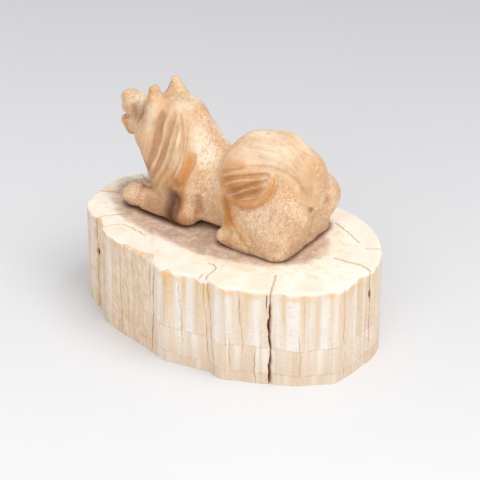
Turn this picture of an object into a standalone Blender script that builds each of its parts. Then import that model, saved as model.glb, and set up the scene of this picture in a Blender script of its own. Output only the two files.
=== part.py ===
"""A small carved dog lying on an oval slab of tusk.

The dog faces -X, its left side faces -Y, and +Z is up. The origin is the
middle of the slab's underside. The dog is one carved piece; the slab is another.
"""
import math

import bmesh
import bpy
import numpy as np
from mathutils import Matrix, Vector

# Driving dimensions, in metres
SLAB_LENGTH = 0.0724
SLAB_WIDTH = 0.0467
SLAB_HEIGHT = 0.0244
RIM_ROUNDING = 0.0004
FLUTE_DEPTH = 0.001
CRACK_WIDTH = 0.0009
CRACK_DEPTH = 0.0022
DOG_LENGTH = 0.055
DOG_SIDE_STEP = 0.0035
REST_GAP = 0.0003

# The dog's pose and proportions are counted in grains, 55 of them to its length
GRAINS_LONG = 55.0
GRAIN = DOG_LENGTH / GRAINS_LONG
VOXEL_GRAINS = 0.42
TRIANGLES_KEPT = 9300

# The slab's outline is a superellipse with these shallow flutes down its side:
# direction and spread in degrees, height as a share of the flute depth
SQUARENESS = 2.24
OUTLINE_STEPS = 120
FLUTES = (
    (-150, 5, -1.5), (-124, 13, -0.7), (-96, 8, 1.2), (-70, 3, -0.7), (-62, 5, 1.0),
    (-40, 6, -0.5), (-17, 4, 0.8), (-3, 4, -0.5), (35, 8, 0.4), (57, 5, -0.7),
    (84, 9, 0.6), (112, 8, -0.6), (138, 9, 0.7), (165, 6, -1.3), (-165, 7, 1.2),
)
# Open cracks that run down the side: direction in degrees, share of the full width
CRACKS = ((-40.0, 1.0), (-106.5, 0.5), (1.6, 0.5), (70, 0.6), (150, 0.5))
# Outline points nearer to a crack than this share of its width are left out
CRACK_CLEARANCE = 1.3


# Soft masses: signed distances to eggs, blocks and tapered limbs, in grains

def turned(points, degrees):
    """Points seen from a mass that is tipped about the Y axis."""
    angle = math.radians(degrees)
    cos, sin = math.cos(angle), math.sin(angle)
    return points @ np.array(((cos, 0, sin), (0, 1, 0), (-sin, 0, cos)))


def egg(points, centre, radii, tip=0.0):
    local = turned(points - np.array(centre), tip)
    radii = np.array(radii, float)
    near = np.linalg.norm(local / radii, axis=-1)
    slope = np.linalg.norm(local / radii ** 2, axis=-1) + 1e-9
    return near * (near - 1) / slope


def block(points, centre, half, rounding, tip=0.0):
    local = np.abs(turned(points - np.array(centre), tip)) - np.array(half) + rounding
    outside = np.linalg.norm(np.maximum(local, 0), axis=-1)
    return outside + np.minimum(local.max(-1), 0) - rounding


def limb(points, start, end, start_radius, end_radius):
    start = np.array(start, float)
    along = np.array(end, float) - start
    share = np.clip((points - start) @ along / (along @ along), 0, 1)
    off = np.linalg.norm(points - start - share[..., None] * along, axis=-1)
    return off - start_radius - (end_radius - start_radius) * share


DISTANCE = {"egg": egg, "block": block, "limb": limb}

# The dog's masses, in the order in which they are melted together:
# kind, numbers, softness of the seam, and whether the right side has one too
BOTH = True
ONE = False
RUMP = (
    ("egg", ((8.4, 0, 12.0), (11.8, 9.4, 12.0)), 2.0, ONE),
    ("egg", ((9.2, 0, 9.0), (10.0, 9.5, 10.5)), 2.0, ONE),
    ("egg", ((9.8, -5.9, 8.8), (11.8, 5.6, 8.2)), 2.0, BOTH),
    ("egg", ((14.4, 7.0, 9.4), (7.0, 5.2, 5.0)), 1.5, ONE),
    ("block", ((9.7, 0, 2.2), (8.5, 11.3, 6.0), 3.8), 3.0, ONE),
    ("limb", ((8.0, -8.8, 1.7), (2.2, -10.0, 1.5), 3.0, 2.0), 1.0, BOTH),
)
BODY = (
    ("limb", ((4.0, 0, 8.6), (-12.0, 0, 8.6), 7.6, 7.8), 3.0, ONE),
    ("block", ((-2.0, 0, 5.1), (8.0, 7.4, 4.6), 2.0), 2.0, ONE),
    ("egg", ((-15.0, 0, 8.5), (8.0, 7.0, 8.5)), 3.0, ONE),
    ("limb", ((-11.2, 0, 11.2), (-17.0, 0, 20.5), 8.0, 6.9), 3.0, ONE),
)
FORELEGS = (
    ("limb", ((-10.0, -4.8, 11.0), (-10.2, -6.8, 2.3), 3.6, 2.9), 1.5, BOTH),
    ("limb", ((-10.0, -7.9, 2.4), (-21.5, -7.5, 2.3), 2.9, 2.7), 1.0, BOTH),
    ("limb", ((-14.8, -4.2, 9.5), (-14.4, -6.4, 3.0), 3.2, 3.0), 1.5, BOTH),
    ("egg", ((-24.9, -7.0, 2.2), (3.4, 3.0, 2.8)), 0.8, BOTH),
)
RUFF = (
    ("limb", ((-22.2, 0, 17.0), (-18.2, 0, 4.5), 6.8, 5.8), 2.0, ONE),
    ("limb", ((-20.7, -3.9, 24.0), (-21.6, -4.8, 17.5), 2.7, 3.6), 1.0, BOTH),
    ("limb", ((-21.8, -4.6, 17.5), (-17.8, -5.0, 5.4), 3.6, 2.4), 2.0, BOTH),
)
HEAD = (
    ("egg", ((-22.3, 0, 21.6), (5.2, 3.9, 4.3)), 1.5, ONE),
    ("block", ((-28.6, 0, 21.2), (4.3, 2.6, 3.0), 2.1, 12), 1.0, ONE),
    ("egg", ((-31.7, 0, 23.0), (1.8, 1.9, 1.4)), 1.2, ONE),
    ("egg", ((-29.4, 0, 17.4), (2.8, 2.0, 2.6)), 1.0, ONE),
    ("limb", ((-30.8, 0, 14.7), (-32.7, 0, 16.5), 1.5, 1.3), 0.6, ONE),
    ("limb", ((-20.6, -3.9, 23.6), (-21.7, -3.6, 28.7), 3.2, 1.4), 1.0, ONE),
    ("limb", ((-20.5, 3.6, 24.8), (-20.8, 3.5, 28.6), 3.2, 1.2), 0.6, ONE),
)
TAIL = (
    ("limb", ((17.4, 0.5, 11.5), (15.7, 1.0, 16.6), 4.2, 5.0), 3.0, ONE),
    ("limb", ((15.7, 1.0, 16.6), (10.3, 1.0, 19.1), 5.0, 5.5), 3.0, ONE),
    ("limb", ((10.3, 1.0, 19.1), (5.6, -0.5, 18.6), 5.5, 5.5), 3.0, ONE),
    ("limb", ((5.6, -0.5, 18.6), (3.2, -3.0, 16.8), 5.5, 5.4), 3.0, ONE),
    ("egg", ((5.0, -6.0, 15.2), (6.2, 5.3, 6.1)), 1.5, ONE),
)
TAIL_SEAM = 1.0


def melted(first, second, softness):
    """Union of two distances whose seam is filled over the given width."""
    share = np.clip(0.5 + 0.5 * (second - first) / softness, 0, 1)
    return second + (first - second) * share - softness * share * (1 - share)


def left_side(points):
    mirrored = points.copy()
    mirrored[..., 1] = -np.abs(mirrored[..., 1])
    return mirrored


def melt_all(points, masses):
    mirrored = left_side(points)
    total = None
    for kind, numbers, softness, both in masses:
        distance = DISTANCE[kind](mirrored if both else points, *numbers)
        total = distance if total is None else melted(total, distance, softness)
    return total


def dog_form(points):
    """Signed distance from the dog's smooth form, before its locks are cut."""
    body = melt_all(points, RUMP + BODY + FORELEGS + RUFF + HEAD)
    return melted(body, melt_all(points, TAIL), TAIL_SEAM)


def form_slope(points, step=0.05):
    slope = np.zeros_like(points)
    for axis in range(3):
        offset = np.zeros(3)
        offset[axis] = step
        slope[:, axis] = dog_form(points + offset) - dog_form(points - offset)
    return slope / (2 * step)


def settled(points, rounds, furthest=0.6):
    """Points moved along the form's slope until they lie on its surface."""
    for _ in range(rounds):
        slope = form_slope(points)
        steep = np.maximum((slope ** 2).sum(-1), 0.2)
        move = np.clip(dog_form(points) / steep, -furthest, furthest)
        points = points - slope * move[:, None]
    return points


# Cut lines: single grooves, and families between two guide lines, laid on the form

RUFF_LINES = (
    ((-17.9, -5.1, 25.5), (-18.0, -6.4, 23.3), (-18.4, -6.8, 21.1), (-19.3, -7.0, 16.0),
     (-20.6, -6.5, 11.8), (-21.8, -5.8, 8.3)),
    ((-15.7, -4.2, 25.9), (-15.2, -5.5, 24.2), (-15.4, -6.4, 22.7), (-15.5, -6.8, 20.9),
     (-16.3, -7.1, 18.4), (-17.4, -6.9, 14.6), (-19.2, -6.8, 10.0), (-20.4, -6.1, 6.9)),
    ((-13.9, -5.6, 23.0), (-13.8, -6.1, 21.6), (-14.0, -6.6, 20.3), (-14.3, -7.2, 17.6),
     (-15.6, -7.7, 13.2), (-17.9, -7.1, 8.2), (-19.3, -6.2, 5.0)),
    ((-14.8, -4.0, 25.7), (-13.5, -4.7, 24.0), (-12.9, -5.2, 22.5), (-12.3, -5.9, 20.5),
     (-12.0, -6.9, 17.5), (-12.6, -8.0, 14.3), (-14.3, -8.4, 10.3), (-17.9, -6.6, 5.1)),
    ((-12.6, -3.5, 24.4), (-12.0, -4.2, 22.8), (-11.6, -5.0, 21.3), (-11.4, -6.0, 19.3),
     (-11.4, -7.1, 16.6), (-11.5, -8.3, 13.6), (-12.5, -8.8, 10.3), (-15.5, -7.5, 5.8)),
    ((-9.0, -5.6, 17.3), (-8.7, -6.9, 15.4), (-9.1, -8.1, 13.8), (-10.0, -9.0, 11.1),
     (-11.2, -9.1, 8.8)),
)
RUFF_FOOT = ((-22.6, -4.6, 5.6), (-20.6, -6.0, 4.6), (-18.4, -7.4, 3.9), (-16.4, -8.4, 3.6))
CHEST_GUIDES = (
    ((-22.4, -6.0, 25.4), (-23.8, -6.3, 21.4), (-25.0, -6.2, 16.5), (-24.4, -5.0, 11.5),
     (-22.6, -4.0, 6.8)),
    ((-26.5, -2.5, 15.5), (-27.6, -1.6, 14.0), (-26.6, -1.2, 11.5), (-25.2, -1.0, 8.5),
     (-23.8, -0.8, 5.6)),
)
CHEST_LOCKS = ((0.0, 0.8), (0.45, 0.4), (0.9, 0.5))
TAIL_GUIDES = (
    ((20.5, -2.5, 12.9), (19.6, -2.0, 19.0), (15.3, -0.3, 23.5), (10.1, 0.6, 25.6),
     (5.3, 1.8, 25.0)),
    ((19.6, -3.6, 14.0), (18.0, -4.5, 17.6), (14.4, -5.4, 19.8), (9.5, -7.4, 20.4),
     (2.2, -9.3, 18.6)),
)
TAIL_LOCKS = ((0.0, 0.7), (0.3, 0.6), (0.55, 0.7), (0.78, 0.5), (1.0, 0.9))
TIP_LINES = (
    ((0.2, -9.0, 16.7), (3.7, -9.9, 19.0), (6.1, -9.0, 20.1), (7.4, -8.4, 20.3)),
    ((1.5, -10.1, 15.6), (3.6, -10.5, 17.1), (6.5, -10.4, 18.3), (10.6, -7.8, 18.9),
     (12.0, -6.9, 18.9)),
    ((2.8, -10.7, 13.1), (5.6, -10.9, 15.0), (8.1, -10.7, 16.2), (12.1, -7.6, 18.0)),
    ((4.6, -11.0, 12.3), (7.6, -10.9, 13.9), (9.7, -10.4, 14.7), (12.2, -8.5, 16.7)),
)
TIP_RIM = ((12.4, -6.9, 19.1), (13.2, -7.7, 17.4), (13.3, -8.9, 15.7), (12.7, -10.0, 14.2),
           (11.3, -10.8, 12.9), (9.1, -11.1, 12.1), (6.3, -11.0, 11.9), (3.9, -10.6, 11.9),
           (2.5, -10.5, 13.5))
TIP_EDGE = ((13.0, -6.5, 19.6), (14.0, -7.4, 17.6), (14.2, -8.8, 15.7), (13.5, -10.0, 13.9),
            (11.9, -10.9, 12.3), (9.3, -11.2, 11.2), (6.2, -11.1, 10.9), (3.2, -10.6, 11.2))
KNEE_LINE = ((1.7, -9.7, 11.6), (2.9, -10.8, 9.1), (4.4, -11.7, 6.5), (6.0, -11.8, 4.6),
             (9.9, -11.6, 0.8))
HAUNCH_CREASE = ((20.6, 0, 10.5), (20.4, 0, 8.0), (19.0, 0, 4.5), (18.3, 0, 0.4))
ELBOW_CREASE = ((-6.3, -8.2, 8.5), (-6.5, -8.0, 5.6), (-6.7, -7.5, 2.6))
SHOULDER_EDGE = ((-12.2, -8.8, 6.8), (-11.4, -9.2, 4.6), (-11.4, -9.8, 2.4))
WRIST = ((-23.2, -5.0, 4.2), (-23.4, -7.6, 3.4), (-23.4, -8.9, 1.6))
CHEEK = ((-27.6, -2.6, 24.6), (-27.9, -2.7, 23.1), (-28.2, -2.7, 21.1), (-27.8, -2.8, 19.0),
         (-27.2, -3.0, 17.0))
EAR_FRONT = ((-23.0, -3.6, 27.2), (-24.0, -4.0, 25.0), (-24.9, -4.2, 22.0), (-25.6, -4.0, 19.0))
TOE_MIDDLE = -6.3
TOE_HALF_GAP = 1.1
TOE_LINES = tuple(
    ((-28.9, TOE_MIDDLE + side, 1.2), (-28.0, TOE_MIDDLE + side, 3.2),
     (-26.0, TOE_MIDDLE + side, 4.2))
    for side in (-TOE_HALF_GAP, TOE_HALF_GAP)
)

# Width and depth of each kind of cut, in grains
DEEP_CUT = (0.75, 0.95)
LOCK_CUT = (0.6, 0.85)
NARROW_CUT = (0.5, 0.6)
TAIL_CUT = (0.7, 0.45)
TIP_CUT = (0.5, 0.5)
CREASE_CUT = (0.8, 0.5)
# Width and height of the raised edge of the tail's tip
RIM_RIDGE = (0.9, 0.4)

FAMILIES = ((CHEST_GUIDES, CHEST_LOCKS, LOCK_CUT), (TAIL_GUIDES, TAIL_LOCKS, TAIL_CUT))
GROOVES = (
    (RUFF_LINES[0], DEEP_CUT, BOTH), (RUFF_LINES[1], LOCK_CUT, BOTH),
    (RUFF_LINES[2], NARROW_CUT, BOTH), (RUFF_LINES[3], NARROW_CUT, BOTH),
    (RUFF_LINES[4], NARROW_CUT, BOTH), (RUFF_LINES[5], NARROW_CUT, BOTH),
    (RUFF_FOOT, NARROW_CUT, BOTH), (TIP_LINES[0], TIP_CUT, ONE), (TIP_LINES[1], TIP_CUT, ONE),
    (TIP_LINES[2], TIP_CUT, ONE), (TIP_LINES[3], TIP_CUT, ONE), (TIP_EDGE, NARROW_CUT, ONE),
    (HAUNCH_CREASE, CREASE_CUT, ONE), (ELBOW_CREASE, CREASE_CUT, BOTH),
    (SHOULDER_EDGE, NARROW_CUT, BOTH), (WRIST, TIP_CUT, BOTH), (KNEE_LINE, TIP_CUT, BOTH),
    (CHEEK, CREASE_CUT, BOTH), (EAR_FRONT, LOCK_CUT, BOTH),
    (TOE_LINES[0], TIP_CUT, BOTH), (TOE_LINES[1], TIP_CUT, BOTH),
)

# A groove fades over this share of its length at each end, and reaches this many widths
FADE_SHARE = 0.13
CUT_REACH = 2.4
LINE_SAMPLES = 22
# Steps that bring points onto the form, and how often the surface is evened out
SETTLE_STEPS = 4
EVENING_ROUNDS = 4


def smooth_line(corners, samples=LINE_SAMPLES):
    """Even points on a Catmull-Rom curve through the corners."""
    corners = np.array(corners, float)
    padded = np.vstack((2 * corners[0] - corners[1], corners, 2 * corners[-1] - corners[-2]))
    line = []
    for share in np.linspace(0, len(corners) - 1 - 1e-6, samples):
        index = int(share)
        t = share - index
        a, b, c, d = padded[index:index + 4]
        line.append(0.5 * (2 * b + (c - a) * t + (2 * a - 5 * b + 4 * c - d) * t ** 2
                           + (3 * b - a - 3 * c + d) * t ** 3))
    return np.array(line)


def family(guides, locks):
    """Lines that share out the space between two guides, with each one's strength."""
    front = smooth_line(guides[0])
    back = smooth_line(guides[1])
    for share, strength in locks:
        yield front * (1 - share) + back * share, strength


def cut_depth(points, line, width, depth):
    """Depth of one groove at each point; it fades out at the line's two ends."""
    reach = CUT_REACH * width
    low = line.min(0) - reach
    high = line.max(0) + reach
    near = np.flatnonzero(((points > low) & (points < high)).all(-1))
    result = np.zeros(len(points))
    if not len(near):
        return result
    inside = points[near]
    best = np.full(len(near), 1e9)
    place = np.zeros(len(near))
    for index, (start, end) in enumerate(zip(line, line[1:])):
        along = end - start
        share = np.clip((inside - start) @ along / (along @ along), 0, 1)
        off = ((inside - start - share[:, None] * along) ** 2).sum(-1)
        closer = off < best
        best[closer] = off[closer]
        place[closer] = (index + share[closer]) / (len(line) - 1)
    fade = np.clip(np.minimum(place, 1 - place) / FADE_SHARE, 0, 1)
    result[near] = depth * np.exp(-best / width ** 2) * fade * (2 - fade)
    return result


def all_cuts():
    """Every groove on the dog: its line, width, depth and whether it is on both sides."""
    for guides, locks, (width, depth) in FAMILIES:
        for line, strength in family(guides, locks):
            yield line, width, depth * strength, BOTH
    for corners, (width, depth), both in GROOVES:
        yield smooth_line(corners), width, depth, both


def carved(points):
    """The settled points pushed in by every groove, and out along the tail tip's edge."""
    mirrored = left_side(points)
    depth = np.zeros(len(points))
    for line, width, deep, both in all_cuts():
        laid = settled(line, SETTLE_STEPS)
        depth = np.maximum(depth, cut_depth(mirrored if both else points, laid, width, deep))
    depth -= cut_depth(points, settled(smooth_line(TIP_RIM), SETTLE_STEPS), *RIM_RIDGE)
    slope = form_slope(points)
    slope /= np.linalg.norm(slope, axis=-1, keepdims=True) + 1e-9
    return points - slope * depth[:, None]


# Collections, materials and small helpers

def collection(name):
    group = bpy.data.collections.new(name)
    bpy.context.scene.collection.children.link(group)
    return group


def clear_scene():
    for item in list(bpy.data.objects):
        bpy.data.objects.remove(item, do_unlink=True)


def plain_material(name, colour, roughness):
    material = bpy.data.materials.new(name)
    material.use_nodes = True
    shader = material.node_tree.nodes["Principled BSDF"]
    shader.inputs["Base Color"].default_value = (*colour, 1)
    shader.inputs["Roughness"].default_value = roughness
    shader.inputs["Metallic"].default_value = 0
    return material


def add_object(name, mesh, group, material=None):
    item = bpy.data.objects.new(name, mesh)
    group.objects.link(item)
    if material is not None:
        mesh.materials.append(material)
    return item


def evaluated_mesh(item):
    graph = bpy.context.evaluated_depsgraph_get()
    graph.update()
    return bpy.data.meshes.new_from_object(item.evaluated_get(graph))


# The dog

def add_ball(shape, centre, radii, tip=0.0):
    turn = Matrix.Rotation(math.radians(-tip), 4, "Y")
    place = Matrix.Translation(Vector(centre)) @ turn @ Matrix.Diagonal((*radii, 1))
    bmesh.ops.create_uvsphere(shape, u_segments=24, v_segments=16, radius=1, matrix=place)


def add_mass(shape, kind, numbers):
    """One mass as plain primitives: a ball, a box, or a cone with a ball at each end."""
    if kind == "egg":
        add_ball(shape, *numbers)
        return
    if kind == "block":
        tip = numbers[3] if len(numbers) > 3 else 0
        turn = Matrix.Rotation(math.radians(-tip), 4, "Y")
        size = Matrix.Diagonal((*(2 * side for side in numbers[1]), 1))
        place = Matrix.Translation(Vector(numbers[0])) @ turn @ size
        bmesh.ops.create_cube(shape, size=1, matrix=place)
        return
    start, end = Vector(numbers[0]), Vector(numbers[1])
    along = end - start
    turn = along.to_track_quat("Z", "Y").to_matrix().to_4x4()
    middle = Matrix.Translation((start + end) / 2) @ turn
    bmesh.ops.create_cone(shape, segments=24, cap_ends=True, radius1=numbers[2],
                          radius2=numbers[3], depth=along.length, matrix=middle)
    add_ball(shape, start, (numbers[2],) * 3)
    add_ball(shape, end, (numbers[3],) * 3)


def mirrored_numbers(numbers):
    """The same mass on the dog's right side."""
    return tuple((n[0], -n[1], n[2]) if isinstance(n, tuple) and n[1] < 0 else n for n in numbers)


def rough_dog(guides):
    """All masses as overlapping primitives, fused by a voxel remesh."""
    shape = bmesh.new()
    for kind, numbers, _, both in RUMP + BODY + FORELEGS + RUFF + HEAD + TAIL:
        add_mass(shape, kind, numbers)
        if both:
            add_mass(shape, kind, mirrored_numbers(numbers))
    mesh = bpy.data.meshes.new("dog_masses")
    shape.to_mesh(mesh)
    shape.free()
    rough = add_object("dog_masses", mesh, guides)
    fuse = rough.modifiers.new("fuse", "REMESH")
    fuse.mode = "VOXEL"
    fuse.voxel_size = VOXEL_GRAINS
    rough.hide_render = True
    rough.display_type = "WIRE"
    return rough


def relaxed(points, edges, share):
    """Each point moved part of the way to the middle of its neighbours."""
    total = np.zeros_like(points)
    count = np.zeros(len(points))
    for one, other in ((0, 1), (1, 0)):
        np.add.at(total, edges[:, one], points[edges[:, other]])
        np.add.at(count, edges[:, one], 1)
    return points + share * (total / count[:, None] - points)


def below_ground(guides):
    """Box under the dog that cuts its underside flat."""
    shape = bmesh.new()
    size = Matrix.Diagonal((2 * GRAINS_LONG, GRAINS_LONG, GRAINS_LONG / 2, 1))
    place = Matrix.Translation((0, 0, -GRAINS_LONG / 4)) @ size
    bmesh.ops.create_cube(shape, size=1, matrix=Matrix.Diagonal((GRAIN, GRAIN, GRAIN, 1)) @ place)
    mesh = bpy.data.meshes.new("below_ground")
    shape.to_mesh(mesh)
    shape.free()
    cutter = add_object("below_ground", mesh, guides)
    cutter.location = dog_place()
    cutter.hide_render = True
    cutter.display_type = "WIRE"
    return cutter


def dog_place():
    return Vector((0, DOG_SIDE_STEP, SLAB_HEIGHT + REST_GAP))


def make_dog(group, guides, material):
    mesh = evaluated_mesh(rough_dog(guides))
    mesh.name = "dog"
    points = np.zeros(len(mesh.vertices) * 3)
    mesh.vertices.foreach_get("co", points)
    points = points.reshape(-1, 3)
    edges = np.zeros(len(mesh.edges) * 2, int)
    mesh.edges.foreach_get("vertices", edges)
    edges = edges.reshape(-1, 2)
    for _ in range(EVENING_ROUNDS):
        points = relaxed(settled(points, 2), edges, 0.5)
    points = carved(settled(points, SETTLE_STEPS))
    mesh.vertices.foreach_set("co", (points * GRAIN).ravel())
    mesh.update()
    dog = add_object("dog", mesh, group, material)
    dog.location = dog_place()
    flat = dog.modifiers.new("flat underside", "BOOLEAN")
    flat.operation = "DIFFERENCE"
    flat.solver = "EXACT"
    flat.object = below_ground(guides)
    fewer = dog.modifiers.new("fewer faces", "DECIMATE")
    fewer.ratio = TRIANGLES_KEPT / (2 * len(mesh.polygons))
    mesh.shade_smooth()
    return dog


# The slab

def superellipse(angle):
    """Radius of the slab's plain outline in one direction."""
    across = abs(math.cos(angle)) / (SLAB_LENGTH / 2)
    along = abs(math.sin(angle)) / (SLAB_WIDTH / 2)
    return (across ** SQUARENESS + along ** SQUARENESS) ** (-1 / SQUARENESS)


def turn_between(first, second):
    """Smallest angle from one direction to another, in degrees."""
    return (first - second + 180) % 360 - 180


def fluted(angle):
    degrees = math.degrees(angle)
    rise = sum(height * math.exp(-(turn_between(degrees, way) / spread) ** 2)
               for way, spread, height in FLUTES)
    return superellipse(angle) + FLUTE_DEPTH * rise


def slab_outline():
    """Points round the slab, with a narrow V cut in where each crack opens."""
    plain = [math.radians(360 * step / OUTLINE_STEPS) for step in range(OUTLINE_STEPS)]
    found = []
    for angle in plain:
        beside = [CRACK_WIDTH * share / fluted(angle) for _, share in CRACKS]
        gaps = [abs(math.radians(turn_between(math.degrees(angle), way))) for way, _ in CRACKS]
        if all(gap > CRACK_CLEARANCE * half for gap, half in zip(gaps, beside)):
            found.append((angle % math.tau, fluted(angle)))
    for way, share in CRACKS:
        angle = math.radians(way)
        radius = fluted(angle)
        half = CRACK_WIDTH * share / 2 / radius
        found.append(((angle - half) % math.tau, radius))
        found.append((angle % math.tau, radius - CRACK_DEPTH * share))
        found.append(((angle + half) % math.tau, radius))
    found.sort()
    return [(radius * math.cos(angle), radius * math.sin(angle)) for angle, radius in found]


def make_slab(group, material):
    points = slab_outline()
    middle_x = (max(x for x, _ in points) + min(x for x, _ in points)) / 2
    middle_y = (max(y for _, y in points) + min(y for _, y in points)) / 2
    curve = bpy.data.curves.new("tusk_base", "CURVE")
    curve.dimensions = "2D"
    curve.fill_mode = "BOTH"
    curve.extrude = SLAB_HEIGHT / 2 - RIM_ROUNDING
    curve.bevel_depth = RIM_ROUNDING
    curve.bevel_resolution = 1
    curve.offset = -RIM_ROUNDING
    spline = curve.splines.new("POLY")
    spline.points.add(len(points) - 1)
    spline.use_cyclic_u = True
    for knot, (x, y) in zip(spline.points, points):
        knot.co = (x - middle_x, y - middle_y, 0, 1)
    drawn = bpy.data.objects.new("tusk_base_outline", curve)
    drawn.location = (0, 0, SLAB_HEIGHT / 2)
    group.objects.link(drawn)
    mesh = evaluated_mesh(drawn)
    place = drawn.matrix_world.copy()
    bpy.data.objects.remove(drawn, do_unlink=True)
    shape = bmesh.new()
    shape.from_mesh(mesh)
    bmesh.ops.remove_doubles(shape, verts=shape.verts, dist=1e-6)
    bmesh.ops.recalc_face_normals(shape, faces=shape.faces)
    shape.to_mesh(mesh)
    shape.free()
    mesh.name = "tusk_base"
    slab = add_object("tusk_base", mesh, group)
    mesh.materials.clear()
    mesh.materials.append(material)
    slab.matrix_world = place
    mesh.shade_smooth()
    mesh.set_sharp_from_angle(angle=math.radians(35))
    return slab


def main():
    clear_scene()
    parts = collection("carved_dog_figurine")
    guides = collection("guides")
    make_slab(parts, plain_material("pale_tusk", (0.78, 0.68, 0.52), 0.45))
    make_dog(parts, guides, plain_material("tan_ivory", (0.66, 0.42, 0.22), 0.5))


main()
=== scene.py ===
"""Looks of the small carved dog lying on an oval slab of tusk.

The dog faces -X and its left side faces -Y. Its carved surface and the slab's
grain, cracks and rind are rebuilt finely here, over the solids of the frame.
"""

import math

import bmesh
import bpy
import numpy as np
from mathutils import Matrix, Vector
from mathutils.kdtree import KDTree


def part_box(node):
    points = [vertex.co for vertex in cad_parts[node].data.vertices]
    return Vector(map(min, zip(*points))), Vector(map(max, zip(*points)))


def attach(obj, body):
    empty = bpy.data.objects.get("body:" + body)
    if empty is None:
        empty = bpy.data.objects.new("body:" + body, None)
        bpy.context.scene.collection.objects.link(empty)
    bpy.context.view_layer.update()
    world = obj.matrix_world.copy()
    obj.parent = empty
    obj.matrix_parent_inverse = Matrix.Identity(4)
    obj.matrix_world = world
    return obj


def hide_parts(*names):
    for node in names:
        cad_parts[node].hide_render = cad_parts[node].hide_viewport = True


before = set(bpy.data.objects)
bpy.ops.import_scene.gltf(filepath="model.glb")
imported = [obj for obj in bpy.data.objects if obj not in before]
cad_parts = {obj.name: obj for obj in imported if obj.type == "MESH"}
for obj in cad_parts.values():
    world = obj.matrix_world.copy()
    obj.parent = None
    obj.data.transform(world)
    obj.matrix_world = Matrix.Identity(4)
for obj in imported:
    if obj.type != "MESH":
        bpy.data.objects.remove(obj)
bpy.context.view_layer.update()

MM = 0.001

# The camera's place: where it looks, and from how far and which way
AIM = Vector((0.27, 2.26, 20.0)) * MM
CAMERA_DISTANCE = 550 * MM
CAMERA_AZIMUTH = 34.19
CAMERA_ELEVATION = 31.0
SENSOR = 36.0
LENS = 178.5

# Lamps: name, azimuth and elevation in degrees, distance and side in metres, watts
LAMPS = (("key_lamp", 85, 62, 0.9, 0.6, 4.2), ("front_lamp", 15, 38, 1.1, 0.7, 2.6))
ROOM_COLOUR = (0.96, 0.965, 0.98, 1)
ROOM_STRENGTH = 0.68
FLOOR_RADIUS = 6.0
# Painted shade: the floor darkens away from the camera, along a line turned this many degrees aside
FLOOR_SHADE_TURN = 18

# The dog's pose and proportions are counted in grains, 55 of them to its length
DOG_LENGTH = 55 * MM
DOG_SIDE_STEP = 3.5 * MM
GRAINS_LONG = 55.0
GRAIN = DOG_LENGTH / GRAINS_LONG
VOXEL_GRAINS = 0.28
SMOOTHING_ROUNDS = 4
# How far from its guide lines a family of locks still shows its hairs, in grains
LOCK_REACH = 1.6
# Knife dents: depth and wave length in grains, seed. They lie this much below the form
DENTS = ((0.10, 5.0, 3), (0.05, 2.2, 4), (0.03, 1.1, 5))
DENT_SINK = 0.05
# The carving comes this much nearer to the slab than its solid does
SETTLE_DOWN = 0.26 * MM

# The slab's outline is a superellipse with shallow flutes down its side:
# direction and spread in degrees, height as a share of the flute depth
SLAB_LENGTH = 72.4 * MM
SLAB_WIDTH = 46.7 * MM
SQUARENESS = 2.24
FLUTE_DEPTH = 1.0 * MM
FLUTES = (
    (-150, 5, -1.5), (-124, 13, -0.7), (-96, 8, 1.2), (-70, 3, -0.7), (-62, 5, 1),
    (-40, 6, -0.5), (-17, 4, 0.8), (-3, 4, -0.5), (35, 8, 0.4), (57, 5, -0.7),
    (84, 9, 0.6), (112, 8, -0.6), (138, 9, 0.7), (165, 6, -1.3), (-165, 7, 1.2),
)
COLUMNS = 780
SIDE_ROWS = 30
RIM_ROWS = 6
TOP_RINGS = 84
INNER_RINGS = 6
INNER_SHARE = 0.45
RIM_ROUNDING = 0.7 * MM
# The side's cracks and ripple fade out over this part of the top's radius: one in
RIM_FADE = 60
# How far down the side the rind comes and how far that varies, in millimetres
RIND_DROP = 0.45
RIND_WAVE = 0.5
# How far below the rind's lower border its ochre fringe lies, in millimetres
FRINGE_DROP = 0.8
# The rind's lower border: soft width, and where it dips: direction, spread, millimetres
RIND_EDGE = 0.6 * MM
RIND_DIPS = ((-112, 6, 2), (-126, 8, 0.7))
# Weathered parts of the side: direction, half width, share, how sharply they end
WEATHERED = ((-143, 38, 1, 10), (0, 14, 0.5, 2))
# Heights of the side's two seams, and how far they wander up and down
UPPER_SEAM = 9.6 * MM
LOWER_SEAM = 2.8 * MM
SEAM_WANDER = 3 * MM
# Fine upright ripple of the side: depth, wave length in millimetres, and how much
# slower it changes with height
RIPPLE = 0.10 * MM
RIPPLE_LENGTH = 1.6
RIPPLE_RISE = 0.04
TOP_CRACK_DEPTH = 0.25 * MM
TOP_CRACK_DARKNESS = 0.45
SHARP_ANGLE = math.radians(40)

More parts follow.
